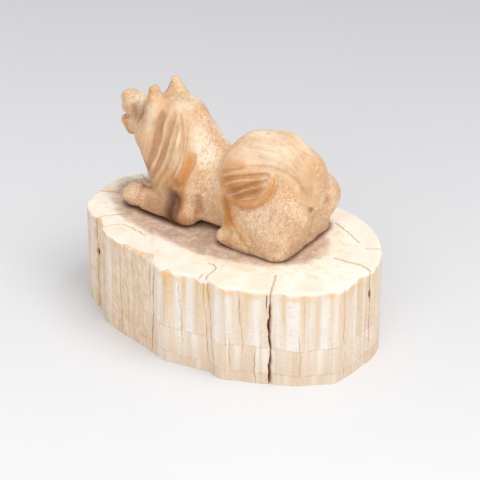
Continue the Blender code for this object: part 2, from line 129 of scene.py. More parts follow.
# Cracks down the side: direction at the top and at the foot in degrees, top and
# bottom height as shares of the slab's, width and depth in millimetres
SIDE_CRACKS = (
    (-40.2, -39.6, 0.86, 0, 0.42, 2.2), (-39.8, -39.9, 1, 0.8, 0.2, 0.5),
    (-41.4, -40.6, 0.97, 0.8, 0.2, 0.5), (-153.5, -153.1, 1, 0, 0.5, 0.12),
    (-108.2, -109.2, 1, 0.5, 0.4, 0.12), (-104.6, -107.6, 1, 0, 0.36, 0.35),
    (-131.2, -130.2, 0.6, 0, 0.4, 0.15), (-143.6, -143, 1, 0, 0.4, 0.14),
    (-147, -146.5, 1, 0.1, 0.26, 0.12), (-70.4, -66.4, 1, 0, 0.3, 0.15),
    (-73, -69.6, 1, 0.1, 0.24, 0.12), (-54.2, -50.5, 1, 0.3, 0.24, 0.12),
    (-47.4, -46.2, 0.44, 0, 0.3, 0.15), (-29.6, -28.9, 0.55, 0.1, 0.26, 0.12),
    (-12.5, -12.2, 1, 0.02, 0.24, 0.12), (1.6, 2.2, 1, 0.1, 0.34, 0.3),
    (-88, -84.5, 0.9, 0.25, 0.22, 0.12), (-59.5, -57.5, 0.5, 0.1, 0.22, 0.12),
    (28, 28.6, 1, 0.2, 0.26, 0.12), (70, 70.5, 1, 0, 0.4, 0.8),
    (104, 103, 0.9, 0.1, 0.26, 0.12), (150, 150.6, 1, 0, 0.4, 0.8),
    (178, 178.8, 1, 0.2, 0.26, 0.12), (-165, -164, 0.9, 0, 0.26, 0.12),
)
# Dark pits in the side: direction in degrees, height as a share of the slab's, and
# half its width and height in millimetres
PITS = ((-153, 0.635, 0.5, 0.9), (1.7, 0.76, 0.4, 0.9), (1.9, 0.7, 0.25, 0.5))
PIT_DEPTH = 0.4 * MM
# Upright bands of the side above its seam: direction and half width in degrees, share
WHITE_BANDS = (
    (-99.4, 2.2, 1), (-88.6, 1.8, 0.9), (-81.2, 2, 0.9), (-64.6, 1.9, 0.9), (-58.6, 1.5, 0.8),
    (-45.4, 1.8, 0.8), (-37.6, 1.8, 0.6), (-31.4, 2.4, 1), (-25.6, 1.7, 0.5), (-20.4, 1.6, 0.9),
    (-16.6, 1, 0.6), (-7.2, 0.6, 0.9), (-1.4, 0.5, 0.9), (-138.2, 1.8, 0.8), (-156.5, 1.6, 0.7),
)
OCHRE_BANDS = (
    (-93.4, 3.8, 1), (-84, 1.6, 1), (-75, 3.8, 0.7), (-69.8, 2.2, 0.8), (-51, 2.8, 0.6),
    (-35.4, 1.2, 0.9), (-27.6, 1.6, 0.6), (-22.8, 1, 0.5), (-18.4, 0.8, 0.7), (-13.6, 3, 0.7),
    (-4.4, 2, 0.6), (20, 6, 0.6), (60, 8, 0.7), (95, 6, 0.7), (130, 7, 0.6),
)
# Cracks across the top, in millimetres from the middle, with their width
TOP_CRACKS = (
    (((23.2, -19.5), (21.9, -17.2), (20.6, -14.2), (19.2, -11.4)), 0.26),
    (((-38, -4.2), (-35.2, -3.1), (-31.3, -1.5)), 0.3),
    (((-34.4, 9.1), (-32.8, 8.5), (-28.3, 6.3)), 0.24),
    (((-29.2, -15.2), (-28, -12.6), (-24.5, -8.7)), 0.22),
    (((-25.6, -17.6), (-24.4, -15.4), (-22, -12.9), (-18, -13.3), (-14.6, -14)), 0.2),
    (((8, -23.6), (6.9, -20), (6.8, -17.2), (5.4, -15.8), (3.9, -16.2)), 0.22),
    (((6.2, -23.6), (5.6, -20.2)), 0.2),
    (((36.2, 1.6), (33, 2.5), (30.1, 2.1), (25.9, 1.8)), 0.3),
    (((18, 15.2), (22.8, 13), (27.7, 10.4)), 0.2),
    (((29.8, 9.2), (33.6, 11.4)), 0.22),
    (((11.4, 22.6), (8.4, 16.8), (6, 14.6)), 0.24),
    (((-31, 12.4), (-24, 11.5)), 0.24),
)
# How far from the dog its painted contact shadow reaches over the slab, in grains
CONTACT_SHADOW_REACH = 2.6
# The marbled core, stretched out in front of the dog's paws so that it also paints the dog's shadow
# there: middle and half axes on the top, in millimetres
CORE_AND_SHADOW_MIDDLE = (-5, 1)
CORE_AND_SHADOW_RADII = (29.2, 15)

# The dog's masses, in the order in which they are melted together:
# kind, numbers, softness of the seam, and whether the right side has one too
BOTH = True
ONE = False
BODY_MASSES = (
    ("egg", ((8.4, 0, 12), (11.8, 9.4, 12)), 2, ONE),
    ("egg", ((9.2, 0, 9), (10, 9.5, 10.5)), 2, ONE),
    ("egg", ((9.8, -5.9, 8.8), (11.8, 5.6, 8.2)), 2, BOTH),
    ("egg", ((14.4, 7, 9.4), (7, 5.2, 5)), 1.5, ONE),
    ("block", ((9.7, 0, 2.2), (8.5, 11.3, 6), 3.8), 3, ONE),
    ("limb", ((8, -8.8, 1.7), (2.2, -10, 1.5), 3, 2), 1, BOTH),
    ("limb", ((4, 0, 8.6), (-12, 0, 8.6), 7.6, 7.8), 3, ONE),
    ("block", ((-2, 0, 5.1), (8, 7.4, 4.6), 2), 2, ONE),
    ("egg", ((-15, 0, 8.5), (8, 7, 8.5)), 3, ONE),
    ("limb", ((-11.2, 0, 11.2), (-17, 0, 20.5), 8, 6.9), 3, ONE),
    ("limb", ((-10, -4.8, 11), (-10.2, -6.8, 2.3), 3.6, 2.9), 1.5, BOTH),
    ("limb", ((-10, -7.9, 2.4), (-21.5, -7.5, 2.3), 2.9, 2.7), 1, BOTH),
    ("limb", ((-14.8, -4.2, 9.5), (-14.4, -6.4, 3), 3.2, 3), 1.5, BOTH),
    ("egg", ((-24.9, -7, 2.2), (3.4, 3, 2.8)), 0.8, BOTH),
    ("limb", ((-22.2, 0, 17), (-18.2, 0, 4.5), 6.8, 5.8), 2, ONE),
    ("limb", ((-20.7, -3.9, 24), (-21.6, -4.8, 17.5), 2.7, 3.6), 1, BOTH),
    ("limb", ((-21.8, -4.6, 17.5), (-17.8, -5, 5.4), 3.6, 2.4), 2, BOTH),
    ("egg", ((-22.3, 0, 21.6), (5.2, 3.9, 4.3)), 1.5, ONE),
    ("block", ((-28.6, 0, 21.2), (4.3, 2.6, 3), 2.1, 12), 1, ONE),
    ("egg", ((-31.7, 0, 23), (1.8, 1.9, 1.4)), 1.2, ONE),
    ("egg", ((-29.4, 0, 17.4), (2.8, 2, 2.6)), 1, ONE),
    ("limb", ((-30.8, 0, 14.7), (-32.7, 0, 16.5), 1.5, 1.3), 0.6, ONE),
    ("limb", ((-20.6, -3.9, 23.6), (-21.7, -3.6, 28.7), 3.2, 1.4), 1, ONE),
    ("limb", ((-20.5, 3.6, 24.8), (-20.8, 3.5, 28.6), 3.2, 1.2), 0.6, ONE),
)
TAIL_MASSES = (
    ("limb", ((17.4, 0.5, 11.5), (15.7, 1, 16.6), 4.2, 5), 3, ONE),
    ("limb", ((15.7, 1, 16.6), (10.3, 1, 19.1), 5, 5.5), 3, ONE),
    ("limb", ((10.3, 1, 19.1), (5.6, -0.5, 18.6), 5.5, 5.5), 3, ONE),
    ("limb", ((5.6, -0.5, 18.6), (3.2, -3, 16.8), 5.5, 5.4), 3, ONE),
    ("egg", ((5, -6, 15.2), (6.2, 5.3, 6.1)), 1.5, ONE),
)
TAIL_SEAM = 1

# Guide lines of the families of locks, laid on the dog's form, in grains
RUFF_GUIDES = (
    ((-18.1, -3.4, 26.8), (-18, -5.9, 24.6), (-18.5, -6.9, 20.8), (-19.1, -7.2, 17.4),
     (-20.6, -6.5, 12.7), (-21.5, -5.9, 7.8)),
    ((-13.4, -2.8, 25.6), (-11.1, -3.4, 22.5), (-9, -5.5, 18), (-8.9, -8, 13.8),
     (-10.7, -9.1, 9.9), (-12.6, -8.4, 5.5)),
)
CHEST_GUIDES = (
    ((-22.4, -6, 25.4), (-23.8, -6.3, 21.4), (-25, -6.2, 16.5), (-24.4, -5, 11.5),
     (-22.6, -4, 6.8)),
    ((-26.5, -2.5, 15.5), (-27.6, -1.6, 14), (-26.6, -1.2, 11.5), (-25.2, -1, 8.5),
     (-23.8, -0.8, 5.6)),
)
FRONT_GUIDES = (RUFF_GUIDES[0], (
    (-22.4, -6, 25.4), (-23.8, -6.3, 21.4), (-24.6, -6.2, 17.4), (-24, -5.6, 12.5),
    (-22.8, -4.8, 7.8)))
TAIL_GUIDES = (
    ((20.5, -2.5, 12.9), (19.6, -2, 19), (15.3, -0.3, 23.5), (10.1, 0.6, 25.6),
     (5.3, 1.8, 25)),
    ((19.6, -3.6, 14), (18, -4.5, 17.6), (14.4, -5.4, 19.8), (9.5, -7.4, 20.4),
     (2.2, -9.3, 18.6)),
)
KNEE_LINE = ((1.7, -9.7, 11.6), (2.9, -10.8, 9.1), (4.4, -11.7, 6.5), (6, -11.8, 4.6),
             (9.9, -11.6, 0.8))
HAUNCH_CREASE = ((20.6, 0, 10.5), (20.4, 0, 8), (19, 0, 4.5), (18.3, 0, 0.4))
ELBOW_CREASE = ((-6.3, -8.2, 8.5), (-6.5, -8, 5.6), (-6.7, -7.5, 2.6))
SHOULDER_EDGE = ((-12.2, -8.8, 6.8), (-11.4, -9.2, 4.6), (-11.4, -9.8, 2.4))
WRIST = ((-23.2, -5, 4.2), (-23.4, -7.6, 3.4), (-23.4, -8.9, 1.6))
CHEEK = ((-27.6, -2.6, 24.6), (-27.9, -2.7, 23.1), (-28.2, -2.7, 21.1), (-27.8, -2.8, 19),
         (-27.2, -3, 17))
EAR_FRONT = ((-23, -3.6, 27.2), (-24, -4, 25), (-24.9, -4.2, 22), (-25.6, -4, 19))
RUFF_LINES = (
    ((-17.9, -5.1, 25.5), (-18, -6.4, 23.3), (-18.4, -6.8, 21.1), (-19.3, -7, 16),
     (-20.6, -6.5, 11.8), (-21.8, -5.8, 8.3)),
    ((-15.7, -4.2, 25.9), (-15.2, -5.5, 24.2), (-15.4, -6.4, 22.7), (-15.5, -6.8, 20.9),
     (-16.3, -7.1, 18.4), (-17.4, -6.9, 14.6), (-19.2, -6.8, 10), (-20.4, -6.1, 6.9)),
    ((-13.9, -5.6, 23), (-13.8, -6.1, 21.6), (-14, -6.6, 20.3), (-14.3, -7.2, 17.6),
     (-15.6, -7.7, 13.2), (-17.9, -7.1, 8.2), (-19.3, -6.2, 5)),
    ((-14.8, -4, 25.7), (-13.5, -4.7, 24), (-12.9, -5.2, 22.5), (-12.3, -5.9, 20.5),
     (-12, -6.9, 17.5), (-12.6, -8, 14.3), (-14.3, -8.4, 10.3), (-17.9, -6.6, 5.1)),
    ((-12.6, -3.5, 24.4), (-12, -4.2, 22.8), (-11.6, -5, 21.3), (-11.4, -6, 19.3),
     (-11.4, -7.1, 16.6), (-11.5, -8.3, 13.6), (-12.5, -8.8, 10.3), (-15.5, -7.5, 5.8)),
    ((-9, -5.6, 17.3), (-8.7, -6.9, 15.4), (-9.1, -8.1, 13.8), (-10, -9, 11.1),
     (-11.2, -9.1, 8.8)),
)
RUFF_FOOT = ((-22.6, -4.6, 5.6), (-20.6, -6, 4.6), (-18.4, -7.4, 3.9), (-16.4, -8.4, 3.6))
TIP_LINES = (
    ((0.2, -9, 16.7), (3.7, -9.9, 19), (6.1, -9, 20.1), (7.4, -8.4, 20.3)),
    ((1.5, -10.1, 15.6), (3.6, -10.5, 17.1), (6.5, -10.4, 18.3), (10.6, -7.8, 18.9),
     (12, -6.9, 18.9)),
    ((2.8, -10.7, 13.1), (5.6, -10.9, 15), (8.1, -10.7, 16.2), (12.1, -7.6, 18)),
    ((4.6, -11, 12.3), (7.6, -10.9, 13.9), (9.7, -10.4, 14.7), (12.2, -8.5, 16.7)),
)
TIP_RIM = ((12.4, -6.9, 19.1), (13.2, -7.7, 17.4), (13.3, -8.9, 15.7), (12.7, -10, 14.2),
           (11.3, -10.8, 12.9), (9.1, -11.1, 12.1), (6.3, -11, 11.9), (3.9, -10.6, 11.9),
           (2.5, -10.5, 13.5))
TIP_EDGE = ((13, -6.5, 19.6), (14, -7.4, 17.6), (14.2, -8.8, 15.7), (13.5, -10, 13.9),
            (11.9, -10.9, 12.3), (9.3, -11.2, 11.2), (6.2, -11.1, 10.9), (3.2, -10.6, 11.2))
MOUTH = ((-33.4, -1.2, 17.6), (-31.4, -2.2, 18.2), (-29.4, -2.6, 18.6))
NOSTRIL = ((-33, -0.8, 22.6), (-32.4, -1.3, 22.2), (-31.8, -1.5, 22.4))
EYE = ((-27.6, -2.6, 24.2), (-26.6, -2.9, 24.4), (-25.6, -3, 24.2))
TOE_LINES = tuple(
    ((-28.9, -6.3 + side, 1.2), (-28, -6.3 + side, 3.2), (-26, -6.3 + side, 4.2))
    for side in (-1.1, 1.1)
)

# Families of grooves: guides, each lock's share and strength, width, depth, both sides
LOCK_FAMILIES = (
    (RUFF_GUIDES, ((0.1, 0.6), (0.33, 0.5), (0.6, 0.5), (0.73, 0.6), (0.9, 0.5)), 0.24, 0.2, BOTH),
    (FRONT_GUIDES, ((0.3, 0.5), (0.62, 0.6), (0.8, 0.5)), 0.3, 0.25, BOTH),
    (CHEST_GUIDES, ((0, 0.8), (0.45, 0.4), (0.9, 0.5)), 0.6, 0.9, BOTH),
    (CHEST_GUIDES, ((0.18, 0.7), (0.3, 0.5), (0.6, 0.8), (0.75, 0.6)), 0.3, 0.3, BOTH),
    (TAIL_GUIDES, ((0, 0.7), (0.3, 0.6), (0.55, 0.7), (0.78, 0.5), (1, 0.9)), 0.6, 0.5, BOTH),
    (TAIL_GUIDES, ((0.15, 0.8), (0.42, 0.7), (0.66, 0.8), (0.9, 0.7)), 0.3, 0.2, BOTH),
)
# Width and depth of each groove of the ruff and of the tail's tip
RUFF_CUTS = ((0.75, 0.95), (0.6, 0.9), (0.32, 0.6), (0.4, 0.75), (0.32, 0.55), (0.4, 0.75))
TIP_CUTS = ((0.35, 0.4), (0.4, 0.55), (0.4, 0.55), (0.4, 0.5))
# Single grooves: line, width, depth, both sides
LONE_CUTS = (
    *((line, *cut, BOTH) for line, cut in zip(RUFF_LINES, RUFF_CUTS)),
    *((line, *cut, ONE) for line, cut in zip(TIP_LINES, TIP_CUTS)),
    (RUFF_FOOT, 0.5, 0.5, BOTH), (TIP_EDGE, 0.5, 0.6, ONE),
    (HAUNCH_CREASE, 0.8, 0.5, ONE), (ELBOW_CREASE, 0.8, 0.5, BOTH),
    (SHOULDER_EDGE, 0.5, 0.5, BOTH), (WRIST, 0.5, 0.4, BOTH), (KNEE_LINE, 0.5, 0.5, BOTH),
    (CHEEK, 0.8, 0.5, BOTH), (EAR_FRONT, 0.7, 0.8, BOTH), (MOUTH, 0.4, 0.5, BOTH),
    (NOSTRIL, 0.35, 0.4, BOTH), (EYE, 0.4, 0.35, BOTH),
    (TOE_LINES[0], 0.4, 0.4, BOTH), (TOE_LINES[1], 0.4, 0.4, BOTH),
)
# Raised edges: line, width, height, both sides
RAISED = ((TIP_RIM, 0.9, 0.4, ONE),)

# Painted strokes: line, width in grains, strength, both sides
AMBER_STROKES = (
    (((-9.7, -5.6, 18), (-9.8, -7.3, 15.2), (-10.3, -8.6, 12.6), (-11.3, -9, 10),
      (-12.4, -8.9, 7.8)), 1.2, 1, BOTH),
    (((-12.6, -8.6, 12), (-14, -8.6, 9.4), (-15.2, -8.2, 7.2)), 1.6, 0.7, BOTH),
    (((-9.4, -8.4, 12.6), (-10.3, -9, 9.6), (-10.8, -9.1, 6.9), (-10.4, -9.5, 4.6),
      (-10.3, -9.9, 2.2)), 1.1, 0.9, BOTH),
    (TIP_RIM, 0.9, 0.9, ONE),
    (((0.6, -9.6, 16), (4.6, -10.6, 16), (8.6, -10.4, 16.2), (11.8, -8.8, 16.8)), 3.2, 0.8, ONE),
    (((1.6, -9.4, 12.6), (2.8, -10.6, 9.6), (3.8, -11.4, 6.8), (4.6, -11.9, 4.4)), 2.3, 1, BOTH),
    (KNEE_LINE, 0.6, 0.6, BOTH),
    (((3.8, -11.8, 5.4), (4.6, -11.6, 3), (3.4, -11, 1.4)), 1.2, 0.5, BOTH),
    (((-32.2, -1.2, 17), (-31.4, -1.6, 15.2), (-30.4, -1.5, 13.8)), 0.5, 0.9, BOTH),
    (((20.5, -2.6, 11.6), (20.7, -3.2, 10.6), (20.4, -3.4, 9.8)), 0.9, 0.8, BOTH),
    (((0.6, -8.4, 19.4), (3.6, -9.2, 20), (7, -8.6, 20.2)), 1.8, 0.55, ONE),
    (((4.6, -11, 12.8), (9, -11, 13.2), (12, -10, 15)), 1.5, 0.8, ONE),
    (((18, -0.8, 21.6), (20.6, 0.2, 18), (21.2, 0.6, 13)), 2.4, 0.26, ONE),
    (((-11.4, -9.6, 4.4), (-9.4, -9.9, 2.4), (-8.2, -9.2, 0.6)), 2.2, 0.45, BOTH),
    (((-21.8, -4.6, 29.6), (-22, -5.2, 27.6), (-22.4, -5.6, 25.4)), 1, 0.5, BOTH),
)
# Dark brown: the stain on the forelegs below the elbows and dark spots in the crease below the tail, and
# painted shade in the grooves of the tail's tip and along its edge, in the ruff's last groove, on the
# cheeks and in front of the ears
UMBER_AND_SHADE_STROKES = (
    (((-13, -8.4, 8.2), (-12.6, -9, 4.4), (-12.4, -9.8, -0.6)), 2.2, 0.85, BOTH),
    (((-12.9, -8.8, 6.6), (-12.6, -9.4, 3.4), (-12.6, -9.9, 0.2)), 1.5, 0.95, BOTH),
    (TIP_LINES[1], 0.22, 0.4, ONE), (TIP_LINES[2], 0.25, 0.5, ONE), (TIP_LINES[3], 0.22, 0.5, ONE),
    (((21.2, -2.6, 11.2), (21.2, -3, 10.2)), 0.8, 0.5, BOTH),
    (RUFF_LINES[5], 0.3, 0.5, BOTH),
    (CHEEK, 0.6, 0.3, BOTH),
    (EAR_FRONT, 0.7, 0.6, BOTH),
    (TIP_EDGE, 0.35, 0.3, ONE),
)
# Shade in the grooves of the tail's tip and ruff, on the face, forelegs, elbows and knees
MAUVE_STROKES = (
    (TIP_LINES[0], 0.4, 0.9, ONE), (TIP_LINES[1], 0.5, 1, ONE), (TIP_LINES[2], 0.55, 1, ONE),
    (TIP_LINES[3], 0.45, 1, ONE), (RUFF_LINES[0], 0.6, 0.6, BOTH), (RUFF_LINES[1], 0.5, 0.65, BOTH),
    (RUFF_LINES[3], 0.3, 0.4, BOTH), (RUFF_LINES[4], 0.3, 0.3, BOTH),
    (((3, -10.7, 14.4), (7.6, -10.8, 15.2), (12.2, -8.9, 17.2)), 2.4, 0.75, ONE),
    (((-28.4, -2.6, 23.6), (-28.4, -2.8, 21), (-27, -3.4, 17.6)), 0.8, 0.7, BOTH),
    (((-25.8, -3.2, 25.6), (-25.7, -3.7, 22.8), (-26, -4.2, 18.6)), 1.6, 0.65, BOTH),
    (((1.8, -9.6, 12), (3, -10.8, 9), (4.2, -11.6, 5.4)), 1.4, 0.6, BOTH),
    (((-11, -9, 8), (-10.9, -9.2, 4.8), (-11.1, -9.8, 1)), 0.8, 0.9, BOTH),
    (((-12, -8.8, 11), (-12.4, -8.6, 8.6)), 1.2, 0.6, BOTH),
    (((-13.2, -8.2, 9.4), (-12.8, -9, 4.4), (-12.6, -9.8, -1.4)), 3, 0.8, BOTH),
    (((-24.6, -5.4, 16), (-23.4, -5.2, 11), (-22.2, -4.8, 6)), 2.8, 0.45, BOTH),
    (((-19.4, -7, 12), (-19.6, -6.4, 8.6), (-19, -6.2, 5.4)), 2.4, 0.3, BOTH),
    (((-14.2, -9, 3.6), (-17.6, -9.4, 3.2), (-21, -9.2, 3)), 2.4, 0.6, BOTH),
    (((-11.4, -9.8, 3.4), (-9.6, -9.8, 2), (-8.4, -9.4, 1.4)), 1.8, 0.35, BOTH),
    (((-7, -8.4, 9), (-6.6, -8.2, 5.6), (-6.4, -8, 2)), 1, 0.35, BOTH),
)
# Painted highlights: thin bright lines on the lower, lit walls of the tip's grooves and on the ridges of
# the ruff's locks, and a paler place on the far ear
HIGHLIGHT_STROKES = (
    (((1.6, -9.6, 16.4), (3.9, -10.1, 18.2), (6.4, -9.4, 19.3)), 0.12, 0.4, ONE),
    (((2.2, -10.5, 15), (6.6, -10.6, 17.5), (10.8, -8.6, 18)), 0.12, 0.55, ONE),
    (((3.4, -10.9, 12.6), (7.8, -10.9, 15.4), (11.8, -8.4, 17.2)), 0.12, 0.55, ONE),
    (((6.2, -11, 12.6), (9.8, -10.6, 14.1), (12, -9.1, 15.9)), 0.12, 0.45, ONE),
    (((-21.6, 2, 27.6), (-21, 1.6, 26.6), (-20.6, 1.2, 25.8)), 1.2, 0.3, ONE),
    (((-13.4, -5.6, 21.9), (-13.2, -6.3, 19.8), (-13.4, -7, 17.6)), 0.4, 0.9, BOTH),
    (((-16.6, -5.6, 24.2), (-16.8, -6.8, 21.4), (-17.8, -7.2, 16.6), (-19.6, -7, 11.6)), 0.35, 0.6, BOTH),
    (((-14.9, -6.6, 20.8), (-15.4, -7.4, 16.6), (-17.4, -7.3, 10.6)), 0.3, 0.5, BOTH),
)
# Wide pale places: painted highlight on the lit tops of the neck, head, muzzle, tail and haunches,
# together with the carving's wear there
LIT_AND_WORN_STROKES = (
    (((-11.4, -2.4, 23.6), (-8.6, -3.6, 19.8), (-6.2, -4.8, 16.2), (-5, -5.4, 13.6)), 2.6, 0.9, BOTH),
    (((-20.3, -5.4, 27.2), (-20.6, -6.4, 23.6), (-20.9, -6.9, 19)), 1.5, 0.6, BOTH),
    (((2, -4, 22.8), (8, -4.6, 23), (13, -3.2, 22.6), (17.4, -2, 20)), 3.8, 0.7, BOTH),
    (((1, -2, 22.8), (6, -0.8, 24.6), (13, -0.6, 24.4)), 2.2, 0.8, ONE),
    (((-30.6, -1.6, 23.2), (-27, -2.4, 24.6), (-24.4, -1.8, 25.6)), 2, 0.5, BOTH),
    (((9, -10.6, 12), (13, -10.8, 10), (16.4, -9.8, 8.4)), 3.6, 0.4, BOTH),
    (((-17.4, -2.8, 27.2), (-15, -2.6, 26.2), (-12.6, -2.4, 24.8)), 2.6, 0.7, BOTH),
)


# Soft masses: signed distances to eggs, blocks and tapered limbs, in grains

def turned(points, degrees):
    """Points seen from a mass that is tipped about the Y axis."""
    angle = math.radians(degrees)
    cos, sin = math.cos(angle), math.sin(angle)
    return points @ np.array(((cos, 0, sin), (0, 1, 0), (-sin, 0, cos)))


def egg(points, centre, radii, tip=0.0):
    local = turned(points - np.array(centre), tip)
    radii = np.array(radii, float)
    near = np.linalg.norm(local / radii, axis=-1)
    slope = np.linalg.norm(local / radii ** 2, axis=-1) + 1e-9
    return near * (near - 1) / slope


def block(points, centre, half, rounding, tip=0.0):
    local = np.abs(turned(points - np.array(centre), tip)) - np.array(half) + rounding
    outside = np.linalg.norm(np.maximum(local, 0), axis=-1)
    return outside + np.minimum(local.max(-1), 0) - rounding


def limb(points, start, end, start_radius, end_radius):
    start = np.array(start, float)
    along = np.array(end, float) - start
    share = np.clip((points - start) @ along / (along @ along), 0, 1)
    off = np.linalg.norm(points - start - share[..., None] * along, axis=-1)
    return off - start_radius - (end_radius - start_radius) * share


DISTANCE = {"egg": egg, "block": block, "limb": limb}


def melted(first, second, softness):
    """Union of two distances whose seam is filled over the given width."""
    share = np.clip(0.5 + 0.5 * (second - first) / softness, 0, 1)
    return second + (first - second) * share - softness * share * (1 - share)


def left_side(points):
    mirrored = points.copy()
    mirrored[..., 1] = -np.abs(mirrored[..., 1])
    return mirrored


def melt_all(points, masses):
    mirrored = left_side(points)
    total = None
    for kind, numbers, softness, both in masses:
        distance = DISTANCE[kind](mirrored if both else points, *numbers)
        total = distance if total is None else melted(total, distance, softness)
    return total


def dog_form(points):
    """Signed distance from the dog's smooth form, before its locks are cut."""
    return melted(melt_all(points, BODY_MASSES), melt_all(points, TAIL_MASSES), TAIL_SEAM)


CORNERS = np.array(((1, 1, 1), (1, -1, -1), (-1, 1, -1), (-1, -1, 1)), float)


def form_and_slope(points, step=0.04):
    """The form's distance and slope, from the four corners of a small tetrahedron."""
    values = [dog_form(points + step * corner) for corner in CORNERS]
    slope = sum(value[:, None] * corner for value, corner in zip(values, CORNERS)) / (4 * step)
    return sum(values) / 4, slope


def settled(points, rounds, furthest=0.6):
    """Points moved along the form's slope until they lie on its surface."""
    for _ in range(rounds):
        distance, slope = form_and_slope(points)
        steep = np.maximum((slope ** 2).sum(-1), 0.2)
        points = points - slope * np.clip(distance / steep, -furthest, furthest)[:, None]
    return points


def unit(vectors):
    return vectors / (np.linalg.norm(vectors, axis=-1, keepdims=True) + 1e-9)


# Cut and painted lines

def smooth_line(corners, samples=22):
    """Even points on a Catmull-Rom curve through the corners."""
    corners = np.array(corners, float)
    padded = np.vstack((2 * corners[0] - corners[1], corners, 2 * corners[-1] - corners[-2]))
    line = []
    for share in np.linspace(0, len(corners) - 1 - 1e-6, samples):
        index = int(share)
        t = share - index
        a, b, c, d = padded[index:index + 4]
        line.append(0.5 * (2 * b + (c - a) * t + (2 * a - 5 * b + 4 * c - d) * t ** 2
                           + (3 * b - a - 3 * c + d) * t ** 3))
    return np.array(line)


def between(guides, share):
    return smooth_line(guides[0]) * (1 - share) + smooth_line(guides[1]) * share


def numbers_beside(points, line, reach):
    """Numbers of the points that lie in the line's box, widened by the reach."""
    return np.flatnonzero(((points > line.min(0) - reach) & (points < line.max(0) + reach)).all(-1))


def stroke(points, line, width, strength, fade_share):
    """A soft stroke's strength at each point; it fades out at the line's two ends."""
    near = numbers_beside(points, line, 2.4 * width)
    result = np.zeros(len(points))
    if not len(near):
        return result
    inside = points[near]
    best = np.full(len(near), 1e9)
    place = np.zeros(len(near))
    for index, (start, end) in enumerate(zip(line, line[1:])):
        along = end - start
        share = np.clip((inside - start) @ along / (along @ along + 1e-12), 0, 1)
        off = ((inside - start - share[:, None] * along) ** 2).sum(-1)
        closer = off < best
        best[closer] = off[closer]
        place[closer] = (index + share[closer]) / (len(line) - 1)
    fade = np.clip(np.minimum(place, 1 - place) / fade_share, 0, 1)
    result[near] = strength * np.exp(-best / width ** 2) * fade * (2 - fade)
    return result


def strokes(points, rows, fade_share=0.13):
    """The strongest of several strokes at each point. A row: line, width, strength, both sides."""
    mirrored = left_side(points)
    lines = settled(np.vstack([row[0] for row in rows]), 4).reshape(len(rows), -1, 3)
    total = np.zeros(len(points))
    for line, (_, width, strength, both) in zip(lines, rows):
        total = np.maximum(total, stroke(mirrored if both else points, line, width, strength,
                                         fade_share))
    return total


def groove_rows():
    rows = [(between(guides, share), width, depth * strength, both)
            for guides, locks, width, depth, both in LOCK_FAMILIES for share, strength in locks]
    return rows + [(smooth_line(line), *rest) for line, *rest in LONE_CUTS]


def painted_rows(table):
    return [(smooth_line(line), *rest) for line, *rest in table]


def strand_field(points, families):
    """How far across and along the locks each point lies, and how near it is to them."""
    mirrored = left_side(points)
    result = np.zeros((len(points), 3))
    for number, (guides, steps) in enumerate(families):
        shares = np.linspace(-0.05, 1.05, steps)
        lines = settled(np.vstack([between(guides, share) for share in shares]), 3)
        samples = len(lines) // steps
        tree = KDTree(len(lines))
        for index, point in enumerate(lines):
            tree.insert(point, index)
        tree.balance()
        for index in numbers_beside(mirrored, lines, LOCK_REACH):
            found = tree.find_n(mirrored[index], 4)
            weights = np.array([1 / (hit[2] + 0.05) for hit in found])
            weights /= weights.sum()
            across = sum(w * shares[hit[1] // samples] for w, hit in zip(weights, found))
            along = sum(w * (hit[1] % samples) / samples for w, hit in zip(weights, found))
            near = max(0.0, 1 - found[0][2] / LOCK_REACH)
            if near > result[index, 2]:
                result[index] = (across + 3 * number, along, near)
    return result


# Smooth noise on points, from a few seeded waves

def waves(points, length, seed, count=9):
    """Smooth noise from -1 to 1 with about this wave length."""
    random = np.random.default_rng(seed)
    total = np.zeros(len(points))
    for _ in range(count):
        way = random.normal(size=3)
        way *= random.uniform(0.6, 1.4) * math.tau / length / np.linalg.norm(way)
        total += np.sin(points @ way + random.uniform(0, math.tau))
    return total / math.sqrt(count * 2)


# Meshes

def set_values(mesh, name, values):
    kind, field = ("FLOAT", "value") if values.ndim == 1 else ("FLOAT_VECTOR", "vector")
    attribute = mesh.attributes.new(name, kind, "POINT")
    attribute.data.foreach_set(field, values.astype(np.float32).ravel())


def points_of(mesh):
    points = np.zeros(len(mesh.vertices) * 3)
    mesh.vertices.foreach_get("co", points)
    return points.reshape(-1, 3)


def linked(name, data):
    item = bpy.data.objects.new(name, data)
    bpy.context.scene.collection.objects.link(item)
    return item


def show(name, mesh, material, location=(0, 0, 0)):
    item = linked(name, mesh)
    item.location = location
    mesh.materials.append(material)
    mesh.shade_smooth()
    return item


# The dog

def tipped(centre, size, tip=0.0):
    """Placement of a unit shape: its size, its tip about the Y axis and its centre."""
    turn = Matrix.Rotation(math.radians(-tip), 4, "Y")
    return Matrix.Translation(Vector(centre)) @ turn @ Matrix.Diagonal((*size, 1))


def add_ball(shape, *numbers):
    bmesh.ops.create_uvsphere(shape, u_segments=24, v_segments=16, radius=1, matrix=tipped(*numbers))


def add_mass(shape, kind, numbers):
    """One mass as plain primitives: a ball, a box, or a cone with a ball at each end."""
    if kind == "egg":
        add_ball(shape, *numbers)
        return
    if kind == "block":
        centre, half, _, *tip = numbers
        bmesh.ops.create_cube(shape, size=2, matrix=tipped(centre, half, *tip))
        return
    start, end = Vector(numbers[0]), Vector(numbers[1])
    along = end - start
    turn = along.to_track_quat("Z", "Y").to_matrix().to_4x4()
    middle = Matrix.Translation((start + end) / 2) @ turn
    bmesh.ops.create_cone(shape, segments=24, cap_ends=True, radius1=numbers[2],
                          radius2=numbers[3], depth=along.length, matrix=middle)
    add_ball(shape, start, (numbers[2],) * 3)
    add_ball(shape, end, (numbers[3],) * 3)


def mirrored_numbers(numbers):
    """The same mass on the dog's right side."""
    return tuple((n[0], -n[1], n[2]) if isinstance(n, tuple) and n[1] < 0 else n for n in numbers)


